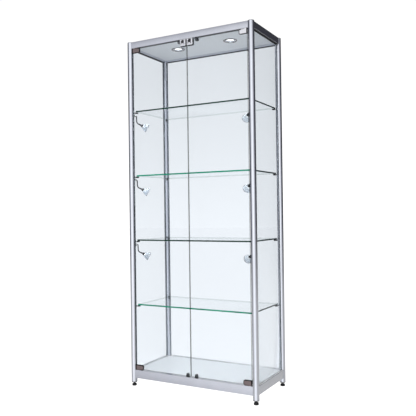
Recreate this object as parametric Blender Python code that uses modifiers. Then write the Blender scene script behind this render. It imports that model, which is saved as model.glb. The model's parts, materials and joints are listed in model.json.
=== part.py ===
"""Upright glass display cabinet with an aluminium frame, two hinged glass doors and fitted lamps.

Metres, +Z up, +X to the right, the doors face -Y. The origin is on the floor, under the middle.
"""

from math import asin, cos, pi, radians, sin

import bmesh
import bpy
from mathutils import Matrix, Vector

# Overall size, and the four round corner posts.
WIDTH = 0.800
DEPTH = 0.400
HEIGHT = 1.980
POST_RADIUS = 0.017
POST_BOTTOM = 0.024
POST_X = WIDTH / 2 - POST_RADIUS
POST_Y = DEPTH / 2 - POST_RADIUS
CAP_HEIGHT = 0.0057
CAP_RIM = 0.0015
CAP_PLUG = 0.012
GAP = 0.0003

# Levelling foot from the top of its stud down its outer side, as (radius, height).
FOOT_PROFILE = (
    (0.0, 0.062), (0.0035, 0.062), (0.0042, 0.060), (0.0042, 0.0135), (0.0065, 0.0125),
    (0.0105, 0.0120), (0.0128, 0.0090), (0.0132, 0.0022), (0.0122, 0.0), (0.0, 0.0),
)

# The glazing slots and the bore of a post, measured from its centre.
SLOT_HALF = 0.0035
SLOT_START = 0.009
BORE_RADIUS = 0.0055
CHAMBER_INNER = 0.008
CHAMBER_OUTER = 0.015

# Rails between the posts.
RAIL_HALF = 0.011
RAIL_WALL = 0.002
GROOVE_DEPTH = 0.010
GLASS_IN_GROOVE = 0.009
TOP_RAIL_LOW = 1.940
TOP_RAIL_HIGH = 1.976
BOTTOM_RAIL_LOW = 0.046
BOTTOM_RAIL_HIGH = 0.093

# Boards.
CEILING_Z = 1.952
CEILING_THICK = 0.008
COVER_Z = 1.9725
COVER_THICK = 0.003
DECK_THICK = 0.016

# Glass.
GLASS = 0.005
GLASS_BEVEL = 0.0006
SHELF_THICK = 0.008
SHELF_HALF_WIDTH = 0.364
SHELF_FRONT = -0.166
SHELF_BACK = 0.1775
SHELF_LOWEST = 0.463
SHELF_PITCH = 0.372
SHELVES = 4

# Doors and their pivot clamps.
DOOR_Y = -0.1875
DOOR_OUTER_X = 0.3635
DOOR_MEETING_X = 0.0015
DOOR_PLAY = 0.0045
PIVOT_X = 0.3535
CLAMP_WIDTH = 0.048
CLAMP_TALL = 0.028
CLAMP_HALF = 0.0058
CLAMP_WEB = 0.0032
CLAMP_FREE = 0.001
PIN_RADIUS = 0.003
PIN_LENGTH = 0.009

# Lock and strike at the top of the doors, where they meet.
LOCK_WIDTH = 0.036
LOCK_TALL = 0.0375
LOCK_INNER_X = 0.0038
LOCK_FRONT = -0.1985
LOCK_BACK = -0.1815
LOCK_CORNER = 0.005
BARREL_RADIUS = 0.0065
BARREL_DEEP = 0.0068
BARREL_PROUD = 0.0005
BARREL_FROM_TOP = 0.0145
KEY_SLOT = (0.0018, 0.0035, 0.0070)
BOLT_FROM_TOP = 0.030
BOLT_SIZE = (0.020, 0.0046, 0.0076)
BOLT_BEVEL = 0.0006
BOLT_PLAY = 0.0006
BOLT_RUN_BACK = 0.002
STRIKE_POCKET = 0.014

# Catch bar under the top rail and door stops on the bottom rail.
CATCH_HALF = 0.062
CATCH_LEG = 0.015
CATCH_BACK = -0.166
CATCH_BAR = 0.0067
CATCH_LEG_TALL = 0.0147
CATCH_TAPER = 0.003
CATCH_RELIEF = 0.043
STOP_X = 0.027
STOP_BACK = -0.168
STOP_TALL = 0.017
STOP_FOOT_HALF = 0.0075
STOP_TOP_HALF = 0.0045

# Lamps. A side lamp hangs from a front post, a downlight sits in the ceiling.
LAMP_SHELVES = (1, 2, 3)
LAMP_PIVOT_OUT = 0.053
LAMP_PIVOT_DROP = 0.072
LAMP_DOWNWARD = radians(23.8)

# Arm of a side lamp below its shelf, as (out from the post's axis, down, radius).
ARM_ROUTE = (
    (POST_RADIUS + GAP, 0.0210, 0.0070), (0.0225, 0.0210, 0.0070), (0.0245, 0.0212, 0.0045),
    (0.0278, 0.0225, 0.0027), (0.0294, 0.0262, 0.0027), (0.0300, 0.0400, 0.0027),
    (0.0305, 0.0525, 0.0027), (0.0330, 0.0600, 0.0027), (0.0400, 0.0665, 0.0027),
    (0.0470, 0.0700, 0.0030), (0.0500, 0.0711, 0.0040), (0.0530, 0.0720, 0.0044),
    (0.0560, 0.0729, 0.0036),
)

# Lamp head from the middle of its front glass round to its neck, as (radius, distance from the tilt axis).
HEAD_PROFILE = (
    (0.0, 0.0410), (0.0205, 0.0410), (0.0213, 0.0446), (0.0238, 0.0446), (0.0246, 0.0428),
    (0.0236, 0.0360), (0.0198, 0.0265), (0.0140, 0.0175), (0.0088, 0.0120), (0.0085, 0.0068),
    (0.0046, 0.0050), (0.0, 0.0050),
)
DOWNLIGHT_X = 0.171
DOWNLIGHT_BODY = 0.027

# Downlight from its top to its lens, as (radius, height over the ceiling's underside).
DOWNLIGHT_PROFILE = (
    (0.0, 0.018), (DOWNLIGHT_BODY, 0.018), (DOWNLIGHT_BODY, -GAP), (0.040, -GAP), (0.040, -0.0015),
    (0.038, -0.003), (0.029, -0.003), (0.0245, 0.0015), (0.0, 0.0015),
)

# Power parts in the canopy.
DRIVER_LOW = (-0.080, 0.080, 1.9603)
DRIVER_HIGH = (0.080, 0.124, 1.9713)
DRIVER_BEVEL = 0.0015
INLET_X = 0.300
INLET_Z = 1.963
INLET_FLANGE_HALF = (0.017, 0.0125)
INLET_FLANGE_OUT = 0.0026
INLET_BODY_HALF = (0.0135, 0.0098)
INLET_BODY_DEEP = 0.0155
INLET_RECESS_HALF = (0.0110, 0.0075)
INLET_RECESS_DEEP = 0.0130

# How far cutters run past what they cut.
PAST = 0.01

COLOURS = {
    "aluminium": ((0.78, 0.78, 0.82), 0.32, 1.0),
    "cap_grey": ((0.70, 0.70, 0.74), 0.30, 0.6),
    "black_plastic": ((0.025, 0.025, 0.03), 0.45, 0.0),
    "white_board": ((0.86, 0.88, 0.90), 0.50, 0.0),
    "clear_glass": ((0.86, 0.93, 0.92), 0.03, 0.0),
    "shelf_glass": ((0.35, 0.72, 0.62), 0.03, 0.0),
    "chrome": ((0.85, 0.85, 0.87), 0.08, 1.0),
    "arm_metal": ((0.30, 0.30, 0.33), 0.30, 1.0),
    "lamp_glass": ((0.90, 0.90, 0.88), 0.15, 0.0),
    "trim_ring": ((0.45, 0.44, 0.45), 0.20, 1.0),
}

CORNERS = {
    "front_left": (-1, -1, 0.0),
    "front_right": (1, -1, pi / 2),
    "back_right": (1, 1, pi),
    "back_left": (-1, 1, -pi / 2),
}


# Scene helpers.

def clear_scene():
    for old in list(bpy.data.objects):
        bpy.data.objects.remove(old, do_unlink=True)


def new_collection(name):
    found = bpy.data.collections.new(name)
    bpy.context.scene.collection.children.link(found)
    return found


def material(slot):
    found = bpy.data.materials.get(slot)
    if found:
        return found
    colour, roughness, metallic = COLOURS[slot]
    found = bpy.data.materials.new(slot)
    found.use_nodes = True
    shader = found.node_tree.nodes["Principled BSDF"]
    shader.inputs["Base Color"].default_value = (*colour, 1.0)
    shader.inputs["Roughness"].default_value = roughness
    shader.inputs["Metallic"].default_value = metallic
    return found


def own_material(piece, slot):
    """Each piece has a copy of its slot's finish, named for the piece."""
    copy = material(slot).copy()
    copy.name = f"{piece.name}_{slot}"
    piece.data.materials.append(copy)


def add(name, data, slot=None, parent=None):
    piece = bpy.data.objects.new(name, data)
    if slot:
        PARTS.objects.link(piece)
        own_material(piece, slot)
    else:
        CUTTERS.objects.link(piece)
        piece.hide_render = True
        piece.display_type = "WIRE"
    piece.parent = parent
    return piece


def empty(name, location, rotation=(0.0, 0.0, 0.0)):
    marker = bpy.data.objects.new(name, None)
    marker.location = location
    marker.rotation_euler = rotation
    PARTS.objects.link(marker)
    bpy.context.view_layer.update()
    return marker


def cut(piece, cutter, operation="DIFFERENCE"):
    boolean = piece.modifiers.new(f"{operation.lower()}_{cutter.name}", "BOOLEAN")
    boolean.operation = operation
    boolean.object = cutter


def bevel(piece, width, segments=1):
    edge = piece.modifiers.new("edges", "BEVEL")
    edge.width = width
    edge.segments = segments
    edge.limit_method = "ANGLE"
    edge.angle_limit = radians(40)


# Shape helpers.

def block(name, low, high, slot=None, parent=None, origin=(0.0, 0.0, 0.0)):
    """A box between two corners, given from the origin of its parent."""
    low, high, origin = Vector(low), Vector(high), Vector(origin)
    work = bmesh.new()
    bmesh.ops.create_cube(work, size=1.0)
    bmesh.ops.scale(work, vec=high - low, verts=work.verts)
    bmesh.ops.translate(work, vec=(low + high) / 2 - origin, verts=work.verts)
    mesh = bpy.data.meshes.new(name)
    work.to_mesh(mesh)
    work.free()
    return add(name, mesh, slot, parent)


def rod(name, centre, radius, length, axis="Z", segments=24, slot=None, parent=None):
    """A cylinder about a centre point, along one of the main axes."""
    turn = {
        "X": Matrix.Rotation(pi / 2, 4, "Y"),
        "Y": Matrix.Rotation(pi / 2, 4, "X"),
        "Z": Matrix.Identity(4),
    }
    work = bmesh.new()
    bmesh.ops.create_cone(
        work, cap_ends=True, segments=segments, radius1=radius, radius2=radius,
        depth=length, matrix=Matrix.Translation(centre) @ turn[axis],
    )
    mesh = bpy.data.meshes.new(name)
    work.to_mesh(mesh)
    work.free()
    return add(name, mesh, slot, parent)


def outline_curve(name, outlines, length, slot=None, parent=None):
    """Closed flat outlines, one inside another for holes, pulled to a length along local Z."""
    curve = bpy.data.curves.new(name, "CURVE")
    curve.dimensions = "2D"
    curve.fill_mode = "BOTH"
    curve.extrude = length / 2
    for outline in outlines:
        spline = curve.splines.new("POLY")
        spline.points.add(len(outline) - 1)
        for point, (x, y) in zip(spline.points, outline):
            point.co = (x, y, 0.0, 1.0)
        spline.use_cyclic_u = True
    return add(name, curve, slot, parent)


def meshed(curve_piece, slot):
    """The same piece as a mesh with its caps welded, ready for a Boolean."""
    bpy.context.view_layer.update()
    name, parent = curve_piece.name, curve_piece.parent
    place = curve_piece.matrix_world.copy()
    evaluated = curve_piece.evaluated_get(bpy.context.evaluated_depsgraph_get())
    mesh = bpy.data.meshes.new_from_object(evaluated)
    work = bmesh.new()
    work.from_mesh(mesh)
    bmesh.ops.remove_doubles(work, verts=work.verts, dist=1e-6)
    work.to_mesh(mesh)
    work.free()
    mesh.materials.clear()
    bpy.data.objects.remove(curve_piece, do_unlink=True)
    piece = add(name, mesh, slot, parent)
    piece.matrix_world = place
    return piece


def turned(name, profile, slot, steps=24, parent=None):
    """A profile of (radius, height) points from the top down its outer side, turned about Z."""
    mesh = bpy.data.meshes.new(name)
    points = [(radius, 0.0, height) for radius, height in profile]
    mesh.from_pydata(points, [(i, i + 1) for i in range(len(points) - 1)], [])
    piece = add(name, mesh, slot, parent)
    screw = piece.modifiers.new("turn", "SCREW")
    screw.steps = steps
    screw.render_steps = steps
    screw.use_merge_vertices = True
    screw.merge_threshold = 1e-5
    return piece


def arc(centre, radius, start, end, steps):
    """Points on a circle from one angle to another, both ends included."""
    return [
        (
            centre[0] + radius * cos(start + (end - start) * i / steps),
            centre[1] + radius * sin(start + (end - start) * i / steps),
        )
        for i in range(steps + 1)
    ]


# The frame.

def post_outlines():
    """A round post with a glazing slot towards each neighbour, a bore and a hollow chamber."""
    edge = asin(SLOT_HALF / POST_RADIUS)
    middle = (0.0, 0.0)
    skin = arc(middle, POST_RADIUS, edge, pi / 2 - edge, 8)
    skin += [(SLOT_HALF, SLOT_START), (-SLOT_HALF, SLOT_START)]
    skin += arc(middle, POST_RADIUS, pi / 2 + edge, 2 * pi - edge, 30)
    skin += [(SLOT_START, -SLOT_HALF), (SLOT_START, SLOT_HALF)]
    bore = arc(middle, BORE_RADIUS, 0.0, 2 * pi, 16)[:-1]
    first, last = radians(120), radians(330)
    chamber = arc(middle, CHAMBER_OUTER, first, last, 14)
    chamber += arc(middle, CHAMBER_INNER, last, first, 10)
    return [skin, bore, chamber]


def make_posts():
    top = HEIGHT - CAP_HEIGHT - GAP
    for corner, (side_x, side_y, turn) in CORNERS.items():
        post = outline_curve(f"post_{corner}", post_outlines(), top - POST_BOTTOM, "aluminium")
        post.location = (side_x * POST_X, side_y * POST_Y, (top + POST_BOTTOM) / 2)
        post.rotation_euler.z = turn


def make_post_caps():
    """A shallow dome with a plug that goes down the post's bore."""
    plug = BORE_RADIUS - GAP
    dome = arc((0.0, 0.0), 1.0, pi / 2, 0.0, 6)
    profile = [(x * POST_RADIUS, CAP_RIM + z * (CAP_HEIGHT - CAP_RIM)) for x, z in dome]
    profile += [(POST_RADIUS, 0.0), (plug, 0.0), (plug, -CAP_PLUG), (0.0, -CAP_PLUG)]
    for corner, (side_x, side_y, _) in CORNERS.items():
        cap = turned(f"post_cap_{corner}", profile, "cap_grey")
        cap.location = (side_x * POST_X, side_y * POST_Y, HEIGHT - CAP_HEIGHT)


def make_levelling_feet():
    """A pad on a threaded stud that goes up the post's bore."""
    for corner, (side_x, side_y, _) in CORNERS.items():
        foot = turned(f"levelling_foot_{corner}", FOOT_PROFILE, "black_plastic", steps=20)
        foot.location = (side_x * POST_X, side_y * POST_Y, 0.0)


def rail_outlines(low, high, groove):
    """A hollow rail section as (across, height). groove is "up", "down" or None."""
    half = RAIL_HALF
    slot = SLOT_HALF
    skin = [(-half, low), (half, low), (half, high), (-half, high)]
    inside_low, inside_high = low + RAIL_WALL, high - RAIL_WALL
    if groove == "down":
        mouth = [(-slot, low), (-slot, low + GROOVE_DEPTH), (slot, low + GROOVE_DEPTH), (slot, low)]
        skin = [skin[0], *mouth, *skin[1:]]
        inside_low += GROOVE_DEPTH
    if groove == "up":
        mouth = [(slot, high), (slot, high - GROOVE_DEPTH), (-slot, high - GROOVE_DEPTH), (-slot, high)]
        skin = [*skin[:3], *mouth, skin[3]]
        inside_high -= GROOVE_DEPTH
    inner = half - RAIL_WALL
    chamber = [(-inner, inside_low), (inner, inside_low), (inner, inside_high), (-inner, inside_high)]
    return [skin, chamber]


def rail(name, outlines, centre, length, along):
    """A rail along X or Y with its ends hollowed to fit round the posts."""
    piece = outline_curve(name, outlines, length)
    upright = Matrix(((0, 0, 1), (1, 0, 0), (0, 1, 0)))
    if along == "Y":
        upright = Matrix(((-1, 0, 0), (0, 0, 1), (0, 1, 0)))
    piece.matrix_world = Matrix.Translation((*centre, 0.0)) @ upright.to_4x4()
    piece = meshed(piece, "aluminium")
    cut(piece, POST_CLEARANCE)
    return piece


def make_rails():
    """Four top and four bottom rails. The side and back rails are grooved for the glass."""
    rails = {}
    for level, low, high, groove in (
        ("top", TOP_RAIL_LOW, TOP_RAIL_HIGH, "down"),
        ("bottom", BOTTOM_RAIL_LOW, BOTTOM_RAIL_HIGH, "up"),
    ):
        glazed = rail_outlines(low, high, groove)
        plain = rail_outlines(low, high, None)
        for side, centre, length, along in (
            ("front", (0.0, -POST_Y), 2 * POST_X, "X"),
            ("back", (0.0, POST_Y), 2 * POST_X, "X"),
            ("left", (-POST_X, 0.0), 2 * POST_Y, "Y"),
            ("right", (POST_X, 0.0), 2 * POST_Y, "Y"),
        ):
            outlines = plain if side == "front" else glazed
            rails[level, side] = rail(f"{level}_rail_{side}", outlines, centre, length, along)
    for side in (-1, 1):
        for level, height in (("top", TOP_RAIL_LOW), ("bottom", BOTTOM_RAIL_HIGH)):
            hole = rod(
                f"cutter_pivot_{level}_{side}", (side * PIVOT_X, DOOR_Y, height),
                PIN_RADIUS + GAP, 2 * PIN_LENGTH, segments=16,
            )
            cut(rails[level, "front"], hole)
    return rails


def post_clearance():
    """The four post cylinders, a little over size, that cut whatever meets a post."""
    work = bmesh.new()
    for side_x, side_y, _ in CORNERS.values():
        bmesh.ops.create_cone(
            work, cap_ends=True, segments=40, radius1=POST_RADIUS + GAP,
            radius2=POST_RADIUS + GAP, depth=2 * HEIGHT,
            matrix=Matrix.Translation((side_x * POST_X, side_y * POST_Y, HEIGHT / 2)),
        )
    mesh = bpy.data.meshes.new("cutter_posts")
    work.to_mesh(mesh)
    work.free()
    return add("cutter_posts", mesh)


def board(name, low, high, slot):
    """A flat board that fills the space between the rails, with its corners cut for the posts."""
    half_x = POST_X - RAIL_HALF - GAP
    half_y = POST_Y - RAIL_HALF - GAP
    piece = block(name, (-half_x, -half_y, low), (half_x, half_y, high), slot)
    cut(piece, POST_CLEARANCE)
    return piece


def make_boards():
    """Deck, ceiling with its two lamp holes, and the cover over the canopy."""
    board("deck", BOTTOM_RAIL_HIGH - DECK_THICK, BOTTOM_RAIL_HIGH - GAP, "white_board")
    ceiling = board("ceiling", CEILING_Z, CEILING_Z + CEILING_THICK, "white_board")
    for side in (-1, 1):
        centre = (side * DOWNLIGHT_X, 0.0, CEILING_Z)
        radius = DOWNLIGHT_BODY + 2 * GAP
        cut(ceiling, rod(f"cutter_downlight_{side}", centre, radius, 4 * CEILING_THICK, segments=24))
    board("top_cover", COVER_Z, COVER_Z + COVER_THICK, "white_board")


# Glass.

def make_fixed_glass():
    """Back, left and right panels, standing in the slots of the posts and rails."""
    inset = SLOT_START + 2 * GAP
    low = BOTTOM_RAIL_HIGH - GLASS_IN_GROOVE
    high = TOP_RAIL_LOW + GLASS_IN_GROOVE
    half = GLASS / 2
    back_low = (inset - POST_X, POST_Y - half, low)
    back_high = (POST_X - inset, POST_Y + half, high)
    bevel(block("glass_back", back_low, back_high, "clear_glass"), GLASS_BEVEL)
    for side, x in (("left", -POST_X), ("right", POST_X)):
        panel_low = (x - half, inset - POST_Y, low)
        panel_high = (x + half, POST_Y - inset, high)
        bevel(block(f"glass_{side}", panel_low, panel_high, "clear_glass"), GLASS_BEVEL)


def shelf_height(number):
    """Middle of a shelf's edge; shelf 1 is the highest."""
    return SHELF_LOWEST + SHELF_PITCH * (SHELVES - number)


def make_shelves():
    for number in range(1, SHELVES + 1):
        middle = shelf_height(number)
        shelf = block(
            f"shelf_{number}",
            (-SHELF_HALF_WIDTH, SHELF_FRONT, middle - SHELF_THICK / 2),
            (SHELF_HALF_WIDTH, SHELF_BACK, middle + SHELF_THICK / 2),
            "shelf_glass",
        )
        bevel(shelf, GLASS_BEVEL)


# Doors. Each hangs on two pivot clamps, and everything on it hangs on an empty at the pivot.

def pivot_clamp(name, pivot, side, up):
    """A clamp with a round end over the door's corner, with the pivot pin on its web."""
    edge = side * (DOOR_OUTER_X - PIVOT_X)
    inner = edge - side * CLAMP_WIDTH
    end_radius = CLAMP_TALL / 2
    web_z = (TOP_RAIL_LOW - CLAMP_FREE) if up > 0 else (BOTTOM_RAIL_HIGH + CLAMP_FREE)
    round_end = arc(
        (inner + side * end_radius, -end_radius), end_radius, pi / 2, pi / 2 + side * pi, 10,
    )
    outline = [(edge, 0.0), *round_end, (edge, -CLAMP_TALL)]
    shape = outline_curve(name, [[(x, z * up) for x, z in outline]], 2 * CLAMP_HALF, parent=pivot)
    shape.location = (0.0, 0.0, web_z)
    shape.rotation_euler.x = pi / 2
    clamp = meshed(shape, "chrome")
    glass_half = GLASS / 2 + GAP
    low_high = sorted((web_z - up * CLAMP_WEB, web_z - up * 2 * CLAMP_TALL))
    mouth = block(
        f"cutter_{name}_mouth", (-2 * CLAMP_WIDTH, -glass_half, low_high[0]),
        (2 * CLAMP_WIDTH, glass_half, low_high[1]), parent=pivot,
    )
    cut(clamp, mouth)
    overlap = CLAMP_WEB / 2
    pin = rod(
        f"cutter_{name}_pin", (0.0, 0.0, web_z + up * (PIN_LENGTH - overlap) / 2),
        PIN_RADIUS, PIN_LENGTH + overlap, segments=16, parent=pivot,
    )
    cut(clamp, pin, "UNION")


def glass_clip(name, pivot, side):
    """A rounded chrome block that slips over the door's top edge beside the meeting line."""
    near = side * (LOCK_INNER_X - PIVOT_X)
    far = near + side * LOCK_WIDTH
    top = TOP_RAIL_LOW - CLAMP_FREE
    corner = LOCK_CORNER
    low = corner - LOCK_TALL
    outline = [(near, 0.0), (far, 0.0)]
    outline += arc((far - side * corner, low), corner, pi / 2 - side * pi / 2, -pi / 2, 4)
    outline += arc((near + side * corner, low), corner, -pi / 2, -pi / 2 - side * pi / 2, 4)
    shape = outline_curve(name, [outline], LOCK_BACK - LOCK_FRONT, parent=pivot)
    shape.location = (0.0, (LOCK_FRONT + LOCK_BACK) / 2 - DOOR_Y, top)
    shape.rotation_euler.x = pi / 2
    clip = meshed(shape, "chrome")
    glass_half = GLASS / 2 + GAP
    mouth = block(
        f"cutter_{name}_mouth", (-WIDTH, -glass_half, top - 3 * LOCK_TALL),
        (WIDTH, glass_half, top - CLAMP_WEB), parent=pivot,
    )
    cut(clip, mouth)
    return clip


def make_door(side_name, side):
    """One door leaf with its clamps. side is -1 on the left and 1 on the right."""
    pivot = empty(f"pivot_door_{side_name}", (side * PIVOT_X, DOOR_Y, 0.0))
    outer = side * (DOOR_OUTER_X - PIVOT_X)
    inner = side * (DOOR_MEETING_X - PIVOT_X)
    x_low, x_high = sorted((outer, inner))
    leaf = block(
        f"door_glass_{side_name}",
        (x_low, -GLASS / 2, BOTTOM_RAIL_HIGH + DOOR_PLAY),
        (x_high, GLASS / 2, TOP_RAIL_LOW - DOOR_PLAY),
        "clear_glass", pivot,
    )
    bevel(leaf, GLASS_BEVEL)
    pivot_clamp(f"pivot_clamp_top_{side_name}", pivot, side, 1)
    pivot_clamp(f"pivot_clamp_bottom_{side_name}", pivot, side, -1)
    return pivot


def bolt_space(from_x, to_x, play):
    """Both corners of the lock's bolt, or of its clearance, between two places across the doors."""
    _, thick, tall = BOLT_SIZE
    y = (LOCK_FRONT + DOOR_Y - GLASS / 2) / 2 - DOOR_Y
    z = TOP_RAIL_LOW - BOLT_FROM_TOP
    x_low, x_high = sorted((from_x, to_x))
    return (
        (x_low, y - thick / 2 - play, z - tall / 2 - play),
        (x_high, y + thick / 2 + play, z + tall / 2 + play),
    )


def make_lock(right_pivot, left_pivot):
    """Lock body, barrel and bolt on the right door, and the strike on the left door."""
    body = glass_clip("lock_body", right_pivot, 1)
    barrel_x = LOCK_INNER_X + LOCK_WIDTH / 2
    barrel_z = TOP_RAIL_LOW - BARREL_FROM_TOP
    front = LOCK_FRONT - DOOR_Y
    bore = rod(
        "cutter_barrel", (barrel_x - PIVOT_X, front, barrel_z), BARREL_RADIUS + GAP,
        2 * BARREL_DEEP, "Y", parent=right_pivot,
    )
    cut(body, bore)
    near = LOCK_INNER_X - PIVOT_X
    length = BOLT_SIZE[0]
    channel_box = bolt_space(near - PAST, near + length + BOLT_RUN_BACK, BOLT_PLAY / 2)
    cut(body, block("cutter_channel", *channel_box, parent=right_pivot))
    bolt_box = bolt_space(near + GAP, near + length, 0.0)
    bolt = block("lock_bolt", *bolt_box, "chrome", right_pivot)
    bevel(bolt, BOLT_BEVEL)
    axis = empty("axis_lock_barrel", (barrel_x, LOCK_FRONT, barrel_z))
    barrel = rod(
        "lock_barrel", (0.0, BARREL_DEEP / 2 - BARREL_PROUD, 0.0), BARREL_RADIUS, BARREL_DEEP,
        "Y", slot="chrome", parent=axis,
    )
    wide, deep, tall = KEY_SLOT
    key_slot = block(
        "cutter_key_slot", (-wide / 2, -PAST, -tall / 2), (wide / 2, deep, tall / 2), parent=axis,
    )
    cut(barrel, key_slot)
    strike = glass_clip("strike_clip", left_pivot, -1)
    left_near = PIVOT_X - LOCK_INNER_X
    pocket_box = bolt_space(left_near - STRIKE_POCKET, left_near + PAST, BOLT_PLAY)
    cut(strike, block("cutter_pocket", *pocket_box, parent=left_pivot))


def make_catch_and_stops():
    """The catch bar behind the doors at the top, and two tapered stops at the bottom."""
    half, leg, taper = CATCH_HALF, CATCH_LEG, CATCH_TAPER
    outline = [
        (-half, 0.0), (half, 0.0), (half - taper, -CATCH_LEG_TALL), (half - leg + taper, -CATCH_LEG_TALL),
        (half - leg, -CATCH_BAR), (leg - half, -CATCH_BAR), (leg - half - taper, -CATCH_LEG_TALL),
        (taper - half, -CATCH_LEG_TALL),
    ]
    door_back = DOOR_Y + GLASS / 2
    front = door_back + 2 * GAP
    shape = outline_curve("door_catch", [outline], CATCH_BACK - front)
    shape.location = (0.0, (CATCH_BACK + front) / 2, TOP_RAIL_LOW - GAP)
    shape.rotation_euler.x = pi / 2
    catch = meshed(shape, "black_plastic")
    relief = block(
        "cutter_catch_relief", (-CATCH_RELIEF, front - PAST, TOP_RAIL_LOW - 2 * CATCH_LEG_TALL),
        (CATCH_RELIEF, LOCK_BACK + CLAMP_FREE, TOP_RAIL_LOW + PAST),
    )
    cut(catch, relief)
    wide, narrow = STOP_FOOT_HALF, STOP_TOP_HALF
    tapered = [(-wide, 0.0), (wide, 0.0), (narrow, STOP_TALL), (-narrow, STOP_TALL)]
    for side_name, side in (("left", -1), ("right", 1)):
        stop = outline_curve(f"door_stop_{side_name}", [tapered], STOP_BACK - front, "black_plastic")
        stop.location = (side * STOP_X, (STOP_BACK + front) / 2, BOTTOM_RAIL_HIGH + GAP)
        stop.rotation_euler.x = pi / 2


# Lamps.

def make_side_lamp(number, side_name, side):
    """A bent arm from a front post, and a lamp head on its knuckle that points at the middle."""
    underside = shelf_height(number) - SHELF_THICK / 2
    towards = Vector((-side, 1.0, 0.0)).normalized()
    post = Vector((side * POST_X, -POST_Y, underside))
    curve = bpy.data.curves.new(f"lamp_arm_{number}_{side_name}", "CURVE")
    curve.dimensions = "3D"
    curve.bevel_depth = 1.0
    curve.bevel_resolution = 2
    curve.use_fill_caps = True
    spline = curve.splines.new("POLY")
    spline.points.add(len(ARM_ROUTE) - 1)
    for point, (out, down, radius) in zip(spline.points, ARM_ROUTE):
        point.co = (*(out * towards - Vector((0.0, 0.0, down))), 1.0)
        point.radius = radius
    arm = add(curve.name, curve, "arm_metal")
    arm.location = post
    knuckle = post + LAMP_PIVOT_OUT * towards - Vector((0.0, 0.0, LAMP_PIVOT_DROP))
    aim = towards * cos(LAMP_DOWNWARD) - Vector((0.0, 0.0, sin(LAMP_DOWNWARD)))
    turn = aim.to_track_quat("Z", "Y").to_euler()
    pivot = empty(f"pivot_lamp_{number}_{side_name}", knuckle, turn)
    turned(f"lamp_head_{number}_{side_name}", HEAD_PROFILE, "lamp_glass", steps=20, parent=pivot)


def make_downlights():
    """A flanged lamp in each hole of the ceiling."""
    for side_name, side in (("left", -1), ("right", 1)):
        lamp = turned(f"downlight_{side_name}", DOWNLIGHT_PROFILE, "trim_ring", steps=28)
        lamp.location = (side * DOWNLIGHT_X, 0.0, CEILING_Z)


def make_power_parts(back_rail):
    """The lamp driver above the ceiling and the mains inlet in the back rail of the canopy."""
    driver = block("lamp_driver", DRIVER_LOW, DRIVER_HIGH, "black_plastic")
    bevel(driver, DRIVER_BEVEL)
    face = POST_Y + RAIL_HALF

    def part_of_inlet(name, half, y_low, y_high, slot=None):
        low = (INLET_X - half[0], y_low, INLET_Z - half[1])
        high = (INLET_X + half[0], y_high, INLET_Z + half[1])
        return block(name, low, high, slot)

    inlet = part_of_inlet(
        "mains_inlet", INLET_FLANGE_HALF, face + GAP, face + INLET_FLANGE_OUT, "black_plastic",
    )
    socket = part_of_inlet(
        "cutter_inlet_body", INLET_BODY_HALF, face - INLET_BODY_DEEP, face + INLET_FLANGE_OUT / 2,
    )
    cut(inlet, socket, "UNION")
    recess = part_of_inlet(
        "cutter_inlet_recess", INLET_RECESS_HALF, face - INLET_RECESS_DEEP, face + PAST,
    )
    cut(inlet, recess)
    hole_half = (INLET_BODY_HALF[0] + GAP, INLET_BODY_HALF[1] + GAP)
    cut(back_rail, part_of_inlet("cutter_inlet_hole", hole_half, face - PAST, face + PAST))


clear_scene()
PARTS = new_collection("display_cabinet")
CUTTERS = new_collection("cutters")
POST_CLEARANCE = post_clearance()

make_posts()
make_post_caps()
make_levelling_feet()
RAILS = make_rails()
make_boards()
make_fixed_glass()
make_shelves()
LEFT_PIVOT = make_door("left", -1)
RIGHT_PIVOT = make_door("right", 1)
make_lock(RIGHT_PIVOT, LEFT_PIVOT)
make_catch_and_stops()
for lamp_number in LAMP_SHELVES:
    make_side_lamp(lamp_number, "left", -1)
    make_side_lamp(lamp_number, "right", 1)
make_downlights()
make_power_parts(RAILS["top", "back"])
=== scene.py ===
"""Looks of an upright glass display cabinet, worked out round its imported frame."""
import json
from math import asin, atan2, cos, pi, radians, sin, sqrt

import bmesh
import bpy
import numpy as np
from bpy.props import FloatProperty, FloatVectorProperty, PointerProperty
from mathutils import Matrix, Vector


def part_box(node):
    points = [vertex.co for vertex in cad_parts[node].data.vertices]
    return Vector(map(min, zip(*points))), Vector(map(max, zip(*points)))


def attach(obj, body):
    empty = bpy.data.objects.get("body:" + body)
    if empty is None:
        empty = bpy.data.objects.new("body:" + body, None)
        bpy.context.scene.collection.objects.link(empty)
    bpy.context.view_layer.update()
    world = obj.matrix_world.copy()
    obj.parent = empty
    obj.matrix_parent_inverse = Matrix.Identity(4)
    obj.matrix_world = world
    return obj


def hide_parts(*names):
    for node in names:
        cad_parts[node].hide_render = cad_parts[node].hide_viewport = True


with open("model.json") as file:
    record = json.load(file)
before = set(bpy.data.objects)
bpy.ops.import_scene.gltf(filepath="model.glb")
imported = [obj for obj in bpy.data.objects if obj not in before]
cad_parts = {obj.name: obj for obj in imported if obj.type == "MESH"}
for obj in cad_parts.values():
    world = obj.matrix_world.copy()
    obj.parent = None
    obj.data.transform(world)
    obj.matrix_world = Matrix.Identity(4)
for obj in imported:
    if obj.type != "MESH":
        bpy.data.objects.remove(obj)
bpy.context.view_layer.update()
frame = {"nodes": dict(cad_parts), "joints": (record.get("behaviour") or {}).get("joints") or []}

bl_info = {
    "name": "Display Cabinet Looks",
    "version": (1, 0, 0),
    "blender": (4, 5, 0),
    "location": "3D View > Sidebar > Cabinet",
    "description": "Finishes, glass, lamps and fittings of an upright glass display cabinet",
    "category": "Add Mesh",
}

CORNERS = ("front_left", "front_right", "back_right", "back_left")
SIDES = (("left", -1), ("right", 1))
LAMP_SHELVES = (1, 2, 3)

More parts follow.
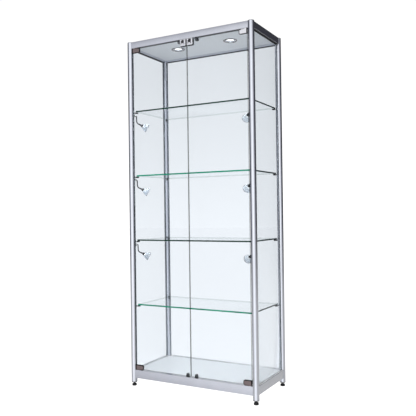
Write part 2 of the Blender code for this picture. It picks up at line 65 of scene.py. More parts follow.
# The room's tone from behind the object (0) to round the camera (1), in the order the stops are made.
ROOM_TONES = (
    (0.0, (0.05, 0.05, 0.06)), (1.0, (1.40, 1.42, 1.46)), (0.30, (0.05, 0.05, 0.06)),
    (0.52, (0.07, 0.07, 0.085)), (0.67, (0.22, 0.22, 0.25)), (0.80, (0.62, 0.63, 0.68)),
    (0.88, (0.88, 0.89, 0.93)), (0.96, (1.18, 1.20, 1.24)),
)

# Room light by the height of a direction, each as (from, to, value there, value here).
ROOM_FALL = (0.34, 0.60, 1.0, 0.28)
ROOM_OVERHEAD = (0.66, 0.92, 0.0, 0.8)
ROOM_GROUND = (-0.16, -0.03, 0.58, 0.0)
ROOM_WHITE = (-0.05, 0.26, 1.265, 1.03)
# How bright the floor is to the camera, and the share of it that is that bright.
FLOOR_WHITE = 1.45
FLOOR_SHARE = 0.8
# A bright panel behind the object on the left.
PANEL_TOWARDS = (-0.50, 0.86, 0.08)
PANEL_EDGE = (0.86, 0.97, 0.0, 0.8)


# Places read from the frame.

def box(node):
    """Lowest and highest corner of a node as arrays."""
    low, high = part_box(node)
    return np.array(low), np.array(high)


def middle(node):
    low, high = box(node)
    return (low + high) / 2


def joint(name):
    return next(found for found in frame["joints"] if found["name"] == name)


POST = {corner: middle(f"post_cap_{corner}") for corner in CORNERS}
POST_RADIUS = float(np.ptp(np.array(box("post_cap_front_left")), axis=0)[0] / 2)
POST_LOW = float(box("post_front_left")[0][2])
POST_HIGH = float(box("post_front_left")[1][2])
TOP_RAIL = tuple(float(c[2]) for c in box("top_rail_front"))
BOTTOM_RAIL = tuple(float(c[2]) for c in box("bottom_rail_front"))
RAIL_HALF = float(np.ptp(np.array(box("top_rail_front")), axis=0)[1] / 2)
GLASS = float(np.ptp(np.array(box("glass_back")), axis=0)[1])
SLOT_HALF = GLASS / 2 + 0.001
SLOT_START = 0.009
SLOT_DEEP = 0.009
FIT = 0.0003


# Settings.

def length(name, text, value, **more):
    return FloatProperty(name=name, description=text, default=value, unit="LENGTH", precision=4, **more)


def colour(name, text, value):
    return FloatVectorProperty(
        name=name, description=text, default=value, subtype="COLOR", size=3, min=0, max=1,
    )


class CabinetSizes(bpy.types.PropertyGroup):
    """Sizes of the small pieces that the frame doesn't hold."""

    edge_round: length("Edge break", "Width of the broken edges on metal and board", 0.0004)
    glass_edge: length("Glass edge", "Width of the polished edge on the glass", 0.0007)
    gasket_depth: length("Gasket depth", "How far a gasket goes down its slot", 0.0075)
    peg_radius: length("Peg radius", "Radius of a shelf peg's sleeve", 0.0042)
    peg_reach: length("Peg reach", "How far a shelf peg stands out of its post", 0.0230)
    liner: length("Clamp liner", "How far the dark base shows round a glass clamp", 0.0030)
    rosette_radius: length("Rosette radius", "Radius of a side lamp's white base", 0.0085)
    stem_radius: length("Stem radius", "Radius of a side lamp's bent stem", 0.0031)
    insert_height: length("Foot insert", "Height of the black insert under a post", 0.0045)
    thread_pitch: length("Thread pitch", "Pitch of the levelling stud's thread", 0.00125)


class CabinetColours(bpy.types.PropertyGroup):
    """Colours of the finishes."""

    aluminium: colour("Aluminium", "Anodised posts and rails", (0.72, 0.735, 0.785))
    chrome: colour("Chrome", "Clamps, lock and lamp rings", (0.82, 0.82, 0.84))
    board: colour("Board", "White melamine on deck and canopy", (0.80, 0.82, 0.84))
    plastic: colour("Black plastic", "Feet, catch and gaskets", (0.018, 0.018, 0.021))
    pane: colour("Glass body", "What one pane lets through", (0.850, 0.873, 0.897))
    pane_edge: colour("Pane edge", "Edges of the upright panes", (0.012, 0.022, 0.024))
    edge_side: colour("Shelf side edge", "Ground side edges of the shelves", (0.03, 0.05, 0.045))
    # Painted light: one shelf edge colour, as a shaded copy on the first and third shelves and a lit copy on
    # the second and fourth.
    edge_shaded_tone: colour("Dark shelf edge", "Edges of the first and third shelves", (0.001, 0.026, 0.014))
    edge_lit_tone: colour("Bright shelf edge", "Edges of the second and fourth shelves", (0.001, 0.175, 0.102))
    lamp_white: colour("Lamp white", "Rosettes of the side lamps", (0.66, 0.66, 0.65))


class CabinetStudio(bpy.types.PropertyGroup):
    """Camera and lights."""

    lens: FloatProperty(name="Lens", description="Focal length in millimetres", default=50.2)
    eye: FloatVectorProperty(
        name="Camera place", description="Where the camera stands", default=(1.6171, -2.9098, 0.9864),
        subtype="TRANSLATION",
    )
    yaw: FloatProperty(name="Yaw", description="Camera turned to the left", default=0.5034, subtype="ANGLE")
    pitch: FloatProperty(name="Pitch", description="Camera tilted up", default=0.0086, subtype="ANGLE")
    roll: FloatProperty(name="Roll", description="Camera rolled", default=-0.0132, subtype="ANGLE")
    key: FloatProperty(name="Key light", description="Power of the front light in watts", default=70.0)
    fill: FloatProperty(name="Top light", description="Power of the overhead light in watts", default=90.0)
    wash: FloatProperty(name="Ceiling wash", description="Power under the ceiling in watts", default=3.7)
    spots: FloatProperty(name="Downlights", description="Power of each ceiling lamp in watts", default=3.6)
    bright_side: FloatProperty(
        name="Bright side", description="Where the room is brightest, from the front towards the right",
        default=0.24, subtype="ANGLE",
    )
    surround: FloatProperty(name="Surround", description="Strength of the room's light", default=1.0)


def sizes():
    return bpy.context.scene.cabinet_sizes


def colours():
    return bpy.context.scene.cabinet_colours


def studio():
    return bpy.context.scene.cabinet_studio


# Surfaces. A skin is (points, faces, material index of each face).

def skin(points, ends="flat", side=0, end=0):
    """A closed surface from a grid of rows. Row i of the grid is a ring; each ring is joined to the next
    by quads, and the two end rings are closed by one flat face each, or by a fan to their middle."""
    rows, columns = points.shape[:2]
    index = np.arange(rows * columns).reshape(rows, columns)
    low, high = index[:-1], index[1:]
    quads = np.stack([low, np.roll(low, -1, 1), np.roll(high, -1, 1), high], -1).reshape(-1, 4)
    faces = quads.tolist()
    marks = np.broadcast_to(side, (rows - 1, columns)).ravel().tolist()
    flat = points.reshape(-1, 3)
    if ends == "flat":
        faces += [index[0][::-1].tolist(), index[-1].tolist()]
        marks += [end, end]
    if ends == "fan":
        poles = np.array([points[0].mean(0), points[-1].mean(0)])
        flat = np.concatenate([flat, poles])
        for ring, pole in ((index[0], rows * columns), (index[-1], rows * columns + 1)):
            fan = np.stack([ring, np.roll(ring, -1), np.full(columns, pole)], -1)
            faces += fan.tolist()
            marks += [end] * columns
    return flat, faces, marks


def ring_of(skin_rows):
    """A closed surface whose last ring is joined back to its first, such as a washer."""
    rows, columns = skin_rows.shape[:2]
    index = np.arange(rows * columns).reshape(rows, columns)
    after = np.roll(index, -1, 0)
    quads = np.stack([index, np.roll(index, -1, 1), np.roll(after, -1, 1), after], -1).reshape(-1, 4)
    return skin_rows.reshape(-1, 3), quads.tolist(), [0] * len(quads)


def moved(shape, matrix):
    points, faces, marks = shape
    matrix = np.array(matrix)
    return points @ matrix[:3, :3].T + matrix[:3, 3], faces, marks


def marked(shape, mark):
    return shape[0], shape[1], [mark] * len(shape[1])


def piece(name, shapes, body, materials, stands_for=(), sharp=32.0):
    """One object from several closed skins, riding on a body."""
    points, faces, marks = [], [], []
    count = 0
    for shape in shapes:
        points.append(shape[0])
        faces += [[corner + count for corner in face] for face in shape[1]]
        marks += shape[2]
        count += len(shape[0])
    mesh = bpy.data.meshes.new(name)
    mesh.from_pydata(np.concatenate(points).tolist(), [], faces)
    mesh.polygons.foreach_set("material_index", marks)
    work = bmesh.new()
    work.from_mesh(mesh)
    bmesh.ops.remove_doubles(work, verts=work.verts, dist=1e-7)
    bmesh.ops.recalc_face_normals(work, faces=work.faces)
    work.to_mesh(mesh)
    work.free()
    mesh.shade_smooth()
    mesh.set_sharp_from_angle(angle=radians(sharp))
    for made in materials if isinstance(materials, (list, tuple)) else [materials]:
        mesh.materials.append(made)
    found = bpy.data.objects.new(name, mesh)
    bpy.context.scene.collection.objects.link(found)
    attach(found, body)
    if stands_for:
        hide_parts(*stands_for)
    return found


def offset(outline, distance):
    """A closed outline moved inwards by a distance: each corner goes along the mitre of its two sides."""
    ahead = np.roll(outline, -1, 0) - outline
    behind = outline - np.roll(outline, 1, 0)
    ahead = ahead / np.linalg.norm(ahead, axis=1, keepdims=True)
    behind = behind / np.linalg.norm(behind, axis=1, keepdims=True)
    first = np.stack([behind[:, 1], -behind[:, 0]], 1)
    second = np.stack([ahead[:, 1], -ahead[:, 0]], 1)
    share = 1.0 + (first * second).sum(1, keepdims=True)
    return outline - distance * (first + second) / np.maximum(share, 0.3)


def slab(outline, low, high, edge, across=(1, 0, 0), up=(0, 1, 0), pull=(0, 0, 1), end=0, side=0, steps=1):
    """An anticlockwise outline pulled from one height to another, with both rims rounded: the rim's point at
    angle a is set in by edge (1 - sin a) at a height of edge (1 - cos a)."""
    turns = np.linspace(0.0, pi / 2, steps + 1)
    insets = edge * (1 - np.sin(turns))
    rises = edge * (1 - np.cos(turns))
    rows = [(inset, low + rise) for inset, rise in zip(insets, rises)]
    rows += [(inset, high - rise) for inset, rise in zip(insets[::-1], rises[::-1])]
    axes = np.array([across, up, pull], float)
    grid = np.stack([
        np.column_stack([offset(outline, inset), np.full(len(outline), height)]) @ axes
        for inset, height in rows
    ])
    return skin(grid, "flat", side, end)


def rectangle(low, high, radius=0.0, steps=4):
    """An anticlockwise rectangle with round corners."""
    if radius <= 0.0:
        return np.array([low, (high[0], low[1]), high, (low[0], high[1])], float)
    turns = np.linspace(0.0, pi / 2, steps + 1)
    parts = []
    for quarter, (x, y) in enumerate((
        (high[0] - radius, high[1] - radius), (low[0] + radius, high[1] - radius),
        (low[0] + radius, low[1] + radius), (high[0] - radius, low[1] + radius),
    )):
        angles = turns + quarter * pi / 2
        parts.append(np.column_stack([x + radius * np.cos(angles), y + radius * np.sin(angles)]))
    return np.concatenate(parts)


def bar(low, high, edge=0.0004, steps=1):
    """A box between two corners with broken edges."""
    low, high = np.array(low, float), np.array(high, float)
    return slab(rectangle(low[:2], high[:2]), low[2], high[2], edge, steps=steps)


def turned(profile, steps=48, centre=(0, 0, 0), axis=(0, 0, 1), ends="fan"):
    """A profile of (radius, height) turned about an axis: a point at angle a is
    radius cos a across, radius sin a up, and height along the axis."""
    profile = np.array(profile, float)
    angle = np.linspace(0.0, 2 * pi, steps, endpoint=False)
    circle = np.stack([np.cos(angle), np.sin(angle), np.zeros(steps)], 1)
    grid = profile[:, :1, None] * circle[None]
    grid[..., 2] += profile[:, 1:2]
    turn = Vector((0, 0, 1)).rotation_difference(Vector(axis)).to_matrix().to_4x4()
    shape = skin(grid, ends) if ends != "ring" else ring_of(grid)
    return moved(shape, Matrix.Translation(centre) @ turn)


def curve_through(points, steps):
    """A smooth path through points: each stretch is the cubic whose slopes are half the chord between the
    neighbours of its ends."""
    points = np.array(points, float)
    padded = np.concatenate([2 * points[:1] - points[1:2], points, 2 * points[-1:] - points[-2:-1]])
    t = np.linspace(0.0, 1.0, steps, endpoint=False)[:, None]
    rows = []
    for a, b, c, d in zip(padded[:-3], padded[1:-2], padded[2:-1], padded[3:]):
        rows.append(b + 0.5 * t * (c - a + t * (2 * a - 5 * b + 4 * c - d + t * (3 * (b - c) + d - a))))
    rows.append(points[-1:])
    return np.concatenate(rows)


def tube(path, radius, sides=20):
    """A round section carried along a path in one upright plane: at each point the section is square to the
    path, spanned by the plane's normal and by that normal crossed with the path's direction."""
    path = np.array(path, float)
    along = np.gradient(path, axis=0)
    along /= np.linalg.norm(along, axis=1, keepdims=True)
    flat = np.cross(path[-1] - path[0], (0, 0, 1.0))
    flat /= np.linalg.norm(flat)
    other = np.cross(along, flat)
    angle = np.linspace(0.0, 2 * pi, sides, endpoint=False)
    radius = np.broadcast_to(np.array(radius, float).reshape(-1, 1, 1), (len(path), 1, 1))
    grid = path[:, None] + radius * (
        np.cos(angle)[None, :, None] * flat + np.sin(angle)[None, :, None] * other[:, None]
    )
    return skin(grid, "fan")


def arc(radius, start, end, steps):
    angle = np.linspace(start, end, steps + 1)
    return np.column_stack([radius * np.cos(angle), radius * np.sin(angle)])


# Materials. Patterns read Object coordinates, so they stay in place on each piece.

class Graph:
    """A node tree and the helpers that fill it. A value fed to a socket is a link or a constant."""

    def __init__(self, tree):
        self.tree = tree

    def node(self, kind, **values):
        made = self.tree.nodes.new(kind)
        for key, value in values.items():
            setattr(made, key, value)
        return made

    def link(self, a, b):
        self.tree.links.new(a, b)

    def feed(self, socket, value):
        if isinstance(value, bpy.types.NodeSocket):
            self.link(value, socket)
        else:
            socket.default_value = value

    def math(self, operation, *values):
        made = self.node("ShaderNodeMath", operation=operation)
        for socket, value in zip(made.inputs, values):
            self.feed(socket, value)
        return made.outputs["Value"]

    def vector(self, operation, *values, result="Vector"):
        made = self.node("ShaderNodeVectorMath", operation=operation)
        for socket, value in zip(made.inputs, values):
            self.feed(socket, value)
        return made.outputs[result]

    def span(self, value, start, end, low, high):
        """The value taken from one range to another and held at its ends."""
        made = self.node("ShaderNodeMapRange")
        for name, number in (("From Min", start), ("From Max", end), ("To Min", low), ("To Max", high)):
            made.inputs[name].default_value = number
        self.link(value, made.inputs["Value"])
        return made.outputs["Result"]

    def mixed(self, share, first, second, surface):
        """The second shader's share over the first, sent to the surface."""
        made = self.node("ShaderNodeMixShader")
        self.feed(made.inputs["Fac"], share)
        self.link(first, made.inputs[1])
        self.link(second, made.inputs[2])
        self.link(made.outputs["Shader"], surface)

    def clear(self, tint):
        made = self.node("ShaderNodeBsdfTransparent")
        made.inputs["Color"].default_value = (*tint, 1.0)
        return made.outputs["BSDF"]


class Finish(Graph):
    """A node material under construction: a Principled shader and helpers that feed it."""

    def __init__(self, name, base, roughness, metallic=0.0, **more):
        self.material = bpy.data.materials.new(name)
        self.material.use_nodes = True
        super().__init__(self.material.node_tree)
        self.shader = self.tree.nodes["Principled BSDF"]
        self.surface = self.tree.nodes["Material Output"].inputs["Surface"]
        self.set(base_color=(*base, 1.0), roughness=roughness, metallic=metallic, **more)

    def set(self, **values):
        names = {"ior": "IOR", "specular_ior_level": "Specular IOR Level"}
        for key, value in values.items():
            self.shader.inputs[names.get(key, key.replace("_", " ").title())].default_value = value

    def noise(self, scale, stretch=(1.0, 1.0, 1.0), detail=4.0, rough=0.6):
        """Noise in Object coordinates, stretched."""
        where = self.node("ShaderNodeTexCoord")
        mapping = self.node("ShaderNodeMapping")
        mapping.inputs["Scale"].default_value = stretch
        self.link(where.outputs["Object"], mapping.inputs["Vector"])
        made = self.node("ShaderNodeTexNoise")
        for key, value in (("Scale", scale), ("Detail", detail), ("Roughness", rough)):
            made.inputs[key].default_value = value
        self.link(mapping.outputs["Vector"], made.inputs["Vector"])
        return made.outputs["Fac"]

    def ramp(self, factor, low, high, start=0.3, end=0.7):
        """The factor taken from one value or colour to another."""
        made = self.node("ShaderNodeValToRGB")
        for element, place, value in zip(made.color_ramp.elements, (start, end), (low, high)):
            element.position = place
            element.color = (*value, 1.0) if hasattr(value, "__len__") else (value, value, value, 1.0)
        self.link(factor, made.inputs["Fac"])
        return made.outputs["Color"]

    def vary(self, socket, factor, low, high, start=0.3, end=0.7):
        self.link(self.ramp(factor, low, high, start, end), self.shader.inputs[socket])

    def bump(self, height, strength, distance):
        made = self.node("ShaderNodeBump")
        made.inputs["Strength"].default_value = strength
        made.inputs["Distance"].default_value = distance
        self.link(height, made.inputs["Height"])
        self.link(made.outputs["Normal"], self.shader.inputs["Normal"])


def scaled(rgb, share):
    return tuple(min(1.0, channel * share) for channel in rgb)


def anodised(name, grain):
    """Satin anodised aluminium: fine drawn lines along the extrusion, cloudy roughness and faint tone."""
    base = tuple(colours().aluminium)
    made = Finish(name, base, 0.24, 1.0)
    stretch = tuple(0.012 if axis == grain else 1.0 for axis in "XYZ")
    lines = made.noise(900.0, stretch, 6.0, 0.7)
    clouds = made.noise(7.0, (1, 1, 1), 3.0, 0.5)
    made.vary("Base Color", clouds, scaled(base, 0.95), scaled(base, 1.03))
    made.vary("Roughness", lines, 0.16, 0.25, 0.25, 0.75)
    made.bump(lines, 0.10, 0.0002)
    return made.material


def polished(name, base, low=0.035, high=0.12):
    """Polished plating with hair-fine wiping marks that show in the roughness."""
    made = Finish(name, base, low, 1.0)
    marks = made.noise(260.0, (1.0, 0.15, 1.0), 5.0, 0.65)
    made.vary("Roughness", marks, low, high, 0.45, 0.8)
    made.bump(made.noise(30.0, detail=2.0), 0.03, 0.0003)
    return made.material


def moulded(name, base, roughness=0.42, grain=0.25):
    """Moulded plastic or rubber with a fine spark-eroded grain."""
    made = Finish(name, base, roughness)
    speck = made.noise(1500.0, detail=3.0)
    made.vary("Base Color", made.noise(40.0), scaled(base, 0.8), scaled(base, 1.25))
    made.vary("Roughness", speck, roughness - 0.08, roughness + 0.12)
    made.bump(speck, grain, 0.0002)
    return made.material


def melamine(name, base):
    """White melamine board: a shallow pearl texture and a hardly visible tone."""
    made = Finish(name, base, 0.38)
    pearl = made.noise(420.0, detail=2.0, rough=0.4)
    made.vary("Base Color", made.noise(3.0, detail=2.0), scaled(base, 0.97), scaled(base, 1.02))
    made.vary("Roughness", pearl, 0.32, 0.46)
    made.bump(pearl, 0.12, 0.0002)
    return made.material


def pane_glass(name, tint, straight, grazing, haze=0.02):
    """Flat clear glass: each face lets through its share of the tint and mirrors by the angle of view, with
    a trace of wiping marks in the mirrored part."""
    made = Finish(name, (1.0, 1.0, 1.0), 0.02)
    made.tree.nodes.remove(made.shader)
    mirror = made.node("ShaderNodeBsdfGlossy")
    mirror.inputs["Color"].default_value = (0.95, 0.98, 1.0, 1.0)
    wipes = made.noise(6.0, (1.0, 1.0, 0.35), 5.0, 0.6)
    made.link(made.ramp(wipes, haze * 0.5, haze * 3.0, 0.45, 0.8), mirror.inputs["Roughness"])
    facing = made.node("ShaderNodeLayerWeight")
    facing.inputs["Blend"].default_value = 0.5
    steep = made.math("POWER", facing.outputs["Facing"], 5.0)
    share = made.math("MULTIPLY_ADD", steep, grazing, straight)
    half_tint = [channel ** 0.5 for channel in tint]
    made.mixed(share, made.clear(half_tint), mirror.outputs["BSDF"], made.surface)
    return made.material


def glass_edge(name, base, painted_glow, inside=0.86):
    """A polished glass edge in its own deep colour, in soft bands along its length, with a painted glow: the
    same banded colour is emitted, standing in for light gathered by the pane. Seen from inside, through the
    pane, it is nearly clear."""
    made = Finish(name, base, 0.10, 0.0, ior=1.5)
    bands = made.noise(5.0, (1.0, 1.0, 1.0), 3.0, 0.55)
    made.vary("Base Color", bands, scaled(base, 0.6), scaled(base, 1.35))
    # Painted glow: the edge emits its banded colour though it is no lamp.
    made.link(made.ramp(bands, scaled(base, 0.6), scaled(base, 1.35)), made.shader.inputs["Emission Color"])
    made.set(emission_strength=painted_glow, specular_ior_level=0.1)
    side = made.node("ShaderNodeNewGeometry")
    share = made.math("MULTIPLY", side.outputs["Backfacing"], inside)
    made.mixed(share, made.shader.outputs["BSDF"], made.clear((0.93, 0.96, 0.95)), made.surface)
    return made.material


def lit(name, tone, strength):
    """A lit diffuser: brightest in the middle of its own prism pattern."""
    made = Finish(name, tone, 0.3)
    made.link(made.ramp(made.noise(240.0), scaled(tone, 0.9), tone), made.shader.inputs["Emission Color"])
    made.set(emission_strength=strength)
    return made.material


def thin_glass(name, base, clear_share, tint, roughness):
    """Thin lamp glass: a share of the light passes, tinted, and the rest shows a bright surface."""
    made = Finish(name, base, roughness)
    made.vary("Roughness", made.noise(500.0), roughness - 0.04, roughness + 0.08)
    made.bump(made.noise(900.0), 0.15, 0.0002)
    made.mixed(clear_share, made.shader.outputs["BSDF"], made.clear(tint), made.surface)
    return made.material


def finish(key):
    """The named finish, made once."""
    name = f"finish_{key}"
    return bpy.data.materials.get(name) or MAKERS[key](name)


MAKERS = {
    "anodised_upright": lambda key: anodised(key, "Z"),
    "anodised_across": lambda key: anodised(key, "X"),
    "anodised_deep": lambda key: anodised(key, "Y"),
    "cap_metal": lambda key: polished(key, tuple(colours().aluminium), 0.16, 0.28),
    "chrome": lambda key: polished(key, tuple(colours().chrome)),
    "dark_nickel": lambda key: polished(key, (0.30, 0.285, 0.29), 0.08, 0.18),
    "black_nickel": lambda key: polished(key, (0.085, 0.085, 0.095), 0.10, 0.22),
    # Painted light: one clamp plating, as a bright copy standing in for a highlight and a dark brownish copy
    # standing in for shade.
    "clamp_painted_highlight": lambda key: polished(key, (0.93, 0.93, 0.94), 0.05, 0.14),
    "clamp_painted_shade": lambda key: polished(key, (0.25, 0.20, 0.195), 0.05, 0.14),
    "zinc_steel": lambda key: polished(key, (0.55, 0.56, 0.58), 0.22, 0.4),
    "magnet_steel": lambda key: polished(key, (0.35, 0.35, 0.36), 0.25, 0.4),
    "black_plastic": lambda key: moulded(key, tuple(colours().plastic)),
    "black_rubber": lambda key: moulded(key, (0.012, 0.012, 0.013), 0.62, 0.4),
    "gasket_rubber": lambda key: moulded(key, (0.34, 0.37, 0.40), 0.5, 0.3),
    "strip_grey": lambda key: moulded(key, (0.085, 0.09, 0.10), 0.55, 0.3),
    "catch_grey": lambda key: moulded(key, (0.55, 0.57, 0.60), 0.4, 0.2),
    "seal_white": lambda key: moulded(key, (0.84, 0.86, 0.88), 0.5, 0.2),
    "white_plastic": lambda key: moulded(key, tuple(colours().lamp_white), 0.3, 0.1),
    "melamine": lambda key: melamine(key, tuple(colours().board)),
    "cover_board": lambda key: melamine(key, scaled(tuple(colours().board), 0.62)),
    "pane_glass": lambda key: pane_glass(key, tuple(colours().pane), 0.017, 0.7),
    "shelf_glass": lambda key: pane_glass(key, (0.985, 0.993, 0.993), 0.02, 0.12),
    "shelf_edge_side": lambda key: glass_edge(key, tuple(colours().edge_side), 0.2),
    "pane_edge": lambda key: glass_edge(key, tuple(colours().pane_edge), 0.1, 0.3),
    # Painted light: shaded and lit copies of one shelf edge, with painted glows of 0.5 and 0.75.
    "shelf_edge_painted_shade": lambda key: glass_edge(key, tuple(colours().edge_shaded_tone), 0.5),
    "shelf_edge_painted_light": lambda key: glass_edge(key, tuple(colours().edge_lit_tone), 0.75),
    "lamp_bowl": lambda key: thin_glass(key, (0.90, 0.92, 0.92), 0.84, (0.97, 0.98, 0.98), 0.12),
    "dichroic": lambda key: thin_glass(key, (0.80, 0.82, 0.86), 0.80, (0.93, 0.95, 0.98), 0.10),
    "reflector": lambda key: polished(key, (0.86, 0.87, 0.9), 0.08, 0.16),
    "downlight_lens": lambda key: lit(key, (1.0, 0.99, 0.96), 1.8),
    "capsule_glow": lambda key: lit(key, (1.0, 0.98, 0.94), 0.9),
}


def soften(node, width):
    """Breaks the sharp edges of a carried-over node: its loose triangles are welded, then bevelled."""
    found = frame["nodes"][node]
    weld = found.modifiers.new("weld", "WELD")
    weld.merge_threshold = 1e-5
    edge = found.modifiers.new("edges", "BEVEL")
    edge.width = width
    edge.segments = 2
    edge.limit_method = "ANGLE"
    edge.angle_limit = radians(40)


def dress(node, material):
    """Gives a carried-over node its finish through its own material slots."""
    found = frame["nodes"][node]
    if not found.material_slots:
        found.data.materials.append(material)
    for slot in found.material_slots:
        slot.material = material


class Step:
    """What every operator here shares."""

    bl_options = {"REGISTER"}

    def execute(self, context):
        self.make()
        return {"FINISHED"}


# Frame.

def post_outline():
    """Round section with a square-lipped glazing slot towards +X and one towards +Y."""
    lip = asin(SLOT_HALF / POST_RADIUS)
    slot_x = np.array([(SLOT_START, -SLOT_HALF), (SLOT_START, SLOT_HALF)])
    slot_y = np.array([(SLOT_HALF, SLOT_START), (-SLOT_HALF, SLOT_START)])
    return np.concatenate([
        arc(POST_RADIUS, lip, pi / 2 - lip, 22), slot_y,
        arc(POST_RADIUS, pi / 2 + lip, 2 * pi - lip, 84), slot_x,
    ])


class CABINET_OT_posts(Step, bpy.types.Operator):
    """Four round posts with glazing slots, and their domed caps"""

    bl_idname = "cabinet.posts"
    bl_label = "Posts and caps"

    def make(self):
        outline = post_outline()
        edge = sizes().edge_round
        for corner in CORNERS:
            x, y, _ = POST[corner]
            quarter = round((atan2(-y, -x) - pi / 4) / (pi / 2)) * (pi / 2)
            body = slab(outline, POST_LOW, POST_HIGH, edge)
            place = Matrix.Translation((x, y, 0)) @ Matrix.Rotation(quarter, 4, "Z")
            piece(
                f"post_{corner}_skin", [moved(body, place)], "frame", finish("anodised_upright"),
                [f"post_{corner}"],
            )
            self.cap(corner, x, y)

    def cap(self, corner, x, y):
        """The dome is a quarter of an ellipse over a short straight rim with a small step at its foot."""
        top = float(box(f"post_cap_{corner}")[1][2])
        rim = POST_HIGH + FIT
        angle = np.linspace(0.0, pi / 2 * 0.97, 14)
        dome = np.column_stack([
            POST_RADIUS * np.cos(angle), rim + 0.0016 + (top - rim - 0.0016) * np.sin(angle),
        ])
        foot = np.array([
            (0.0052, rim - 0.002), (0.0052, rim), (POST_RADIUS - 0.0006, rim), (POST_RADIUS, rim + 0.0006),
        ])
        profile = np.concatenate([foot, dome])
        piece(
            f"post_cap_{corner}_dome", [turned(profile, 96, (x, y, 0))], "frame", finish("cap_metal"),
            [f"post_cap_{corner}"], sharp=40,
        )


def rail_section(low, high, groove):
    """Rail section as (across, height), anticlockwise, with round corners and an optional glass groove."""
    half, radius = RAIL_HALF, 0.0012
    rows = rectangle((-half, low), (half, high), radius, 4)
    parts = np.split(rows, 4)
    flat = np.linspace(1, 0, 9)[1:-1]

    def between(a, b):
        return a + (b - a) * (1 - flat)[:, None]

    top = between(parts[0][-1], parts[1][0])
    under = between(parts[2][-1], parts[3][0])
    if groove == "up":
        floor = high - SLOT_DEEP
        top = np.array([(1, high), (1, floor), (-1, floor), (-1, high)]) * (SLOT_HALF, 1)
    if groove == "down":
        roof = low + SLOT_DEEP
        under = np.array([(-1, low), (-1, roof), (1, roof), (1, low)]) * (SLOT_HALF, 1)
    return np.concatenate([parts[0], top, parts[1], parts[2], under, parts[3]])


class CABINET_OT_rails(Step, bpy.types.Operator):
    """Eight rails whose ends are hollowed to close round the posts"""

    bl_idname = "cabinet.rails"
    bl_label = "Rails"

    def make(self):
        for level, (low, high), groove in (("top", TOP_RAIL, "down"), ("bottom", BOTTOM_RAIL, "up")):
            for side in ("front", "back", "left", "right"):
                self.rail(level, side, rail_section(low, high, None if side == "front" else groove))

    def rail(self, level, side, section):
        """Each point of the section runs between the two posts, and stops where a circle a little larger
        than the post stands at that distance from the rail's middle plane."""
        node = f"{level}_rail_{side}"
        centre = middle(node)
        along = 0 if side in ("front", "back") else 1
        across = 1 - along
        reach = abs(POST["front_left"][along])
        stop = reach - np.sqrt((POST_RADIUS + FIT) ** 2 - section[:, 0] ** 2)
        points = np.zeros((2, len(section), 3))
        points[0, :, along], points[1, :, along] = -stop, stop
        points[:, :, across] = centre[across] + section[:, 0]
        points[:, :, 2] = section[:, 1]
        metal = finish("anodised_across" if along == 0 else "anodised_deep")
        piece(f"{node}_skin", [skin(points)], "frame", metal, [node])


class CABINET_OT_boards(Step, bpy.types.Operator):
    """Deck and ceiling in white melamine, canopy cover in a greyer one"""

    bl_idname = "cabinet.boards"
    bl_label = "Boards"

    def make(self):
        for node in ("deck", "ceiling"):
            dress(node, finish("melamine"))
        dress("top_cover", finish("cover_board"))


# Glass.

def pane(node, thin, finishes, body, slot, corner=0.0008):
    """A flat pane from its node's box: a rectangle with small round corners, pulled through its thickness
    with polished rims. thin is the axis of its thickness. finishes are those of the faces and the edges, and
    on a shelf of the edges other than the front one."""
    low, high = box(node)
    axes = [axis for axis in range(3) if axis != thin]
    if thin == 1:
        axes.reverse()
    frame_axes = np.eye(3)
    outline = rectangle(low[axes], high[axes], corner, 3)
    shape = slab(
        outline, low[thin], high[thin], sizes().glass_edge, frame_axes[axes[0]], frame_axes[axes[1]],
        frame_axes[thin], end=0, side=edge_marks(outline, len(finishes)), steps=2,
    )
    return piece(f"{node}_pane", [shape], body, finishes, [node])


def edge_marks(outline, finishes):
    """Which finish each side of an outline has: 1, or 2 on a shelf's edges other than the front one."""
    if finishes < 3:
        return 1
    halfway = (outline + np.roll(outline, -1, 0)) / 2
    rim = 0.0015
    return np.where(halfway[:, 1] < outline[:, 1].min() + rim, 1, 2)


class CABINET_OT_panes(Step, bpy.types.Operator):
    """Back, side and door panes"""

    bl_idname = "cabinet.panes"
    bl_label = "Panes"

    def make(self):
        both = [finish("pane_glass"), finish("pane_edge")]
        pane("glass_back", 1, both, "frame", "clear_glass")
        for side, _ in SIDES:
            pane(f"glass_{side}", 0, both, "frame", "clear_glass")
            pane(f"door_glass_{side}", 1, both, f"door_{side}", "clear_glass", 0.0015)


class CABINET_OT_shelves(Step, bpy.types.Operator):
    """Four glass shelves with green polished edges"""

    bl_idname = "cabinet.shelves"
    bl_label = "Shelves"

    def make(self):
        for number in (1, 2, 3, 4):
            # Odd shelves take the painted-shade copy of the edge, even ones the painted-light copy.
            front = finish("shelf_edge_painted_shade" if number % 2 else "shelf_edge_painted_light")
            finishes = [finish("shelf_glass"), front, finish("shelf_edge_side")]
            pane(f"shelf_{number}", 2, finishes, "frame", "shelf_glass", 0.002)


def strip_pair(low, high, plane, inner, reach=SLOT_HALF - 0.00005, edge=0.00015):
    """Two strips, one on each side of the glass. plane is the axis across the glass, inner the middle of the
    glass on that axis, and reach how far from it the strips go."""
    strips = []
    for sign in (-1, 1):
        a, b = np.array(low, float), np.array(high, float)
        a[plane], b[plane] = sorted((inner + sign * (GLASS / 2 + 0.00005), inner + sign * reach))
        strips.append(bar(a, b, edge))
    return strips


